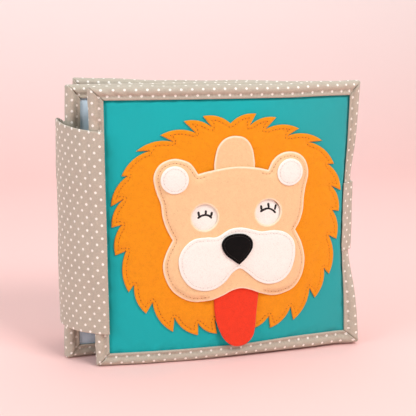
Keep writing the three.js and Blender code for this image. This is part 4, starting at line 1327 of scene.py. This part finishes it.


# Painted shade in the needle holes at the stitches' ends: dark beads sunk, scattered and of uneven
# length, and fainter on the lit right side below the brow
def scatterHoles(holes, seed):
    scatter = np.random.default_rng(seed)
    count = len(holes["at"])
    stray = scatter.uniform(-stitchLook["holeStray"], stitchLook["holeStray"], (count, 1))
    holes["at"] = holes["at"] - holes["lift"] * stitchLook["holeSink"] + holes["way"] * stray
    right, high = smooth((holes["at"][:, 0] - 0.045) / 0.02), smooth((holes["at"][:, 2] - 0.15) / 0.01)
    holes["span"] = scatter.uniform(*stitchLook["holeSpans"], count) * (1 - stitchLook["faint"] * right * (1 - high))
    return holes


for feltName, look in felts.items():
    rows = [line for line in look["rows"] if len(line) > 1]
    if not rows:
        continue
    name, heightAt = feltName.removeprefix("felt_"), feltFace(look)
    sewn = joined([alongLine("front", line, heightAt) for line in rows])
    bakeStitches(f"{name}_stitches", sewn, stitchLook["felt"], threads[look["thread"]], "front", look["slot"])
    holes = scatterHoles(joined([alongLine("front", line, heightAt, between=0.0) for line in rows]), look["seed"])
    bakeStitches(f"{name}_holes", holes, stitchLook["hole"], threads[look["hole"]], "front", look["slot"])
print("felt stitches")

# Eyes in satin stitch on the slider: the closed pair at the windows, the open pair below
closedStrokes = [
    [(62.9, 107.0), (65.4, 108.6), (68.3, 109.2), (71.2, 108.5), (73.2, 106.7)], [(63.4, 111.9), (64.1, 108.4)],
    [(68.9, 112.6), (68.8, 109.4)], [(73.4, 111.3), (72.6, 108.0)],
    [(109.2, 109.6), (111.8, 110.9), (115.0, 111.7), (118.4, 110.5), (121.0, 108.1)], [(109.7, 114.2), (110.2, 111.0)],
    [(115.0, 115.7), (115.8, 111.9)], [(121.0, 114.4), (120.3, 110.4)],
]
satin = {"width": 1.95, "pitch": 0.26, "pupil": 4.2, "thick": 0.42, "dip": 0.12, "over": 0.02}


def panelFace(along, up):
    return slideTop(along, up) + satin["over"]


def satinStroke(points, width):
    line = splineThrough(points, satin["pitch"]) if len(points) > 2 else evenly(points, satin["pitch"])
    row = alongLine("front", line, panelFace, turn=True)
    count = len(row["at"])
    ends = np.minimum(np.arange(count), np.arange(count)[::-1]) * satin["pitch"] + 0.15
    row["span"] = np.sqrt(np.clip(1 - (1 - np.clip(ends / (width / 2), 0, 1)) ** 2, 0.1, 1))
    return row


def satinDisc(middle, radius):
    line = evenly([(middle[0], middle[1] - radius), (middle[0], middle[1] + radius)], satin["pitch"])
    row = alongLine("front", line, panelFace, turn=True)
    height = (line[:-1, 1] + line[1:, 1]) / 2 - middle[1]
    row["span"] = 2 * np.sqrt(np.clip(radius**2 - height**2, 0.04, None)) / satin["width"]
    return row


# The strokes are written from the binding's inner edge
strokes = [satinStroke([(x + panel["border"], z) for x, z in one], satin["width"]) for one in closedStrokes]
for middle in eyeMiddles.values():
    strokes.append(satinDisc(middle - (0, sliderLook["travel"]), satin["pupil"]))
satinSizes = (satin["width"], satin["thick"], satin["dip"])
bakeStitches("eye_embroidery", joined(strokes), satinSizes, threads["blackThread"], "slider", "black_felt")
print("eyes")


# Stage, light and camera
def softLight(name, where, size, power, colour):
    data = bpy.data.lights.new(name, "AREA")
    data.shape, data.size, data.energy, data.color = "SQUARE", size, power, colour
    lamp = addObject(name, data)
    lamp.location = where
    lamp.rotation_euler = (Vector((0, 0, 0.1)) - Vector(where)).to_track_quat("-Z", "Y").to_euler()


# The backdrop in metres: floor, bend and wall
backdropLook = {
    "front": -3.0, "depth": 1.3, "height": 3.0, "bend": 0.5, "half": 4.0,
    "low": "FACFC9", "high": "FFF8F4", "fadeTo": 0.5,
}


def makeStage():
    depth, bend, half = backdropLook["depth"], backdropLook["bend"], backdropLook["half"]
    arc = [(depth - bend + bend * math.sin(a), bend - bend * math.cos(a)) for a in np.linspace(0.1, math.pi / 2, 12)]
    profile = [(backdropLook["front"], 0.0), (depth - bend, 0.0), *arc, (depth, backdropLook["height"])]
    points = [(x, y, z) for y, z in profile for x in (-half, half)]
    faces = [(2 * i, 2 * i + 1, 2 * i + 3, 2 * i + 2) for i in range(len(profile) - 1)]
    # Matt backdrop paper: no gloss, so that the eye sees only its even fade from pink to white, painted light that is
    # paler towards the top
    made, add, shader, where = startMaterial("paleBackdropPaper")
    # Painted light: the paper grows paler upwards
    upper = add("MapRange", {"Value": add("SeparateXYZ", {0: where}, out=2), "From Max": backdropLook["fadeTo"]})
    paintedShading = overlaid(add, hexColour(backdropLook["low"]), [(upper, 1, hexColour(backdropLook["high"]))])
    fill(shader, {"Base Color": paintedShading, "Roughness": 0.95, "Specular IOR Level": 0.1})
    mesh = bpy.data.meshes.new("backdrop")
    mesh.from_pydata(points, [], faces)
    mesh.materials.append(made)
    mesh.polygons.foreach_set("use_smooth", [True] * len(mesh.polygons))
    addObject("backdrop", mesh)


makeStage()
# Place, side, power and colour of each lamp, all aimed at the book's middle
lamps = {
    "key": ((0.75, -1.05, 1.35), 0.7, 19, (1, 0.995, 1)),
    "fill": ((-1.6, -0.6, 0.95), 1.3, 15, (0.88, 1.02, 1.1)),
    "top": ((0.1, 0.3, 1.7), 1.4, 9, (1, 1, 1)),
}
for name, lamp in lamps.items():
    softLight(name, *lamp)
world = bpy.context.scene.world or bpy.data.worlds.new("world")
bpy.context.scene.world = world
world.use_nodes = True
fill(world.node_tree.nodes["Background"], {"Color": (0.97, 1, 1.03, 1), "Strength": 0.36})

# The photograph's camera: millimetres and degrees
eye = {"place": (-111.56, -649.96, 237.0), "turn": -9.6, "tilt": 11.17, "lens": 77.9, "sensor": 36}
cameraData = bpy.data.cameras.new("camera")
cameraData.lens, cameraData.sensor_width = eye["lens"], eye["sensor"]
camera = addObject("camera", cameraData)
camera.location = Vector(eye["place"]) * mm
camera.rotation_euler = (math.radians(90 - eye["tilt"]), 0, math.radians(eye["turn"]))
bpy.context.scene.camera = camera
bpy.context.scene.view_settings.view_transform = "Standard"
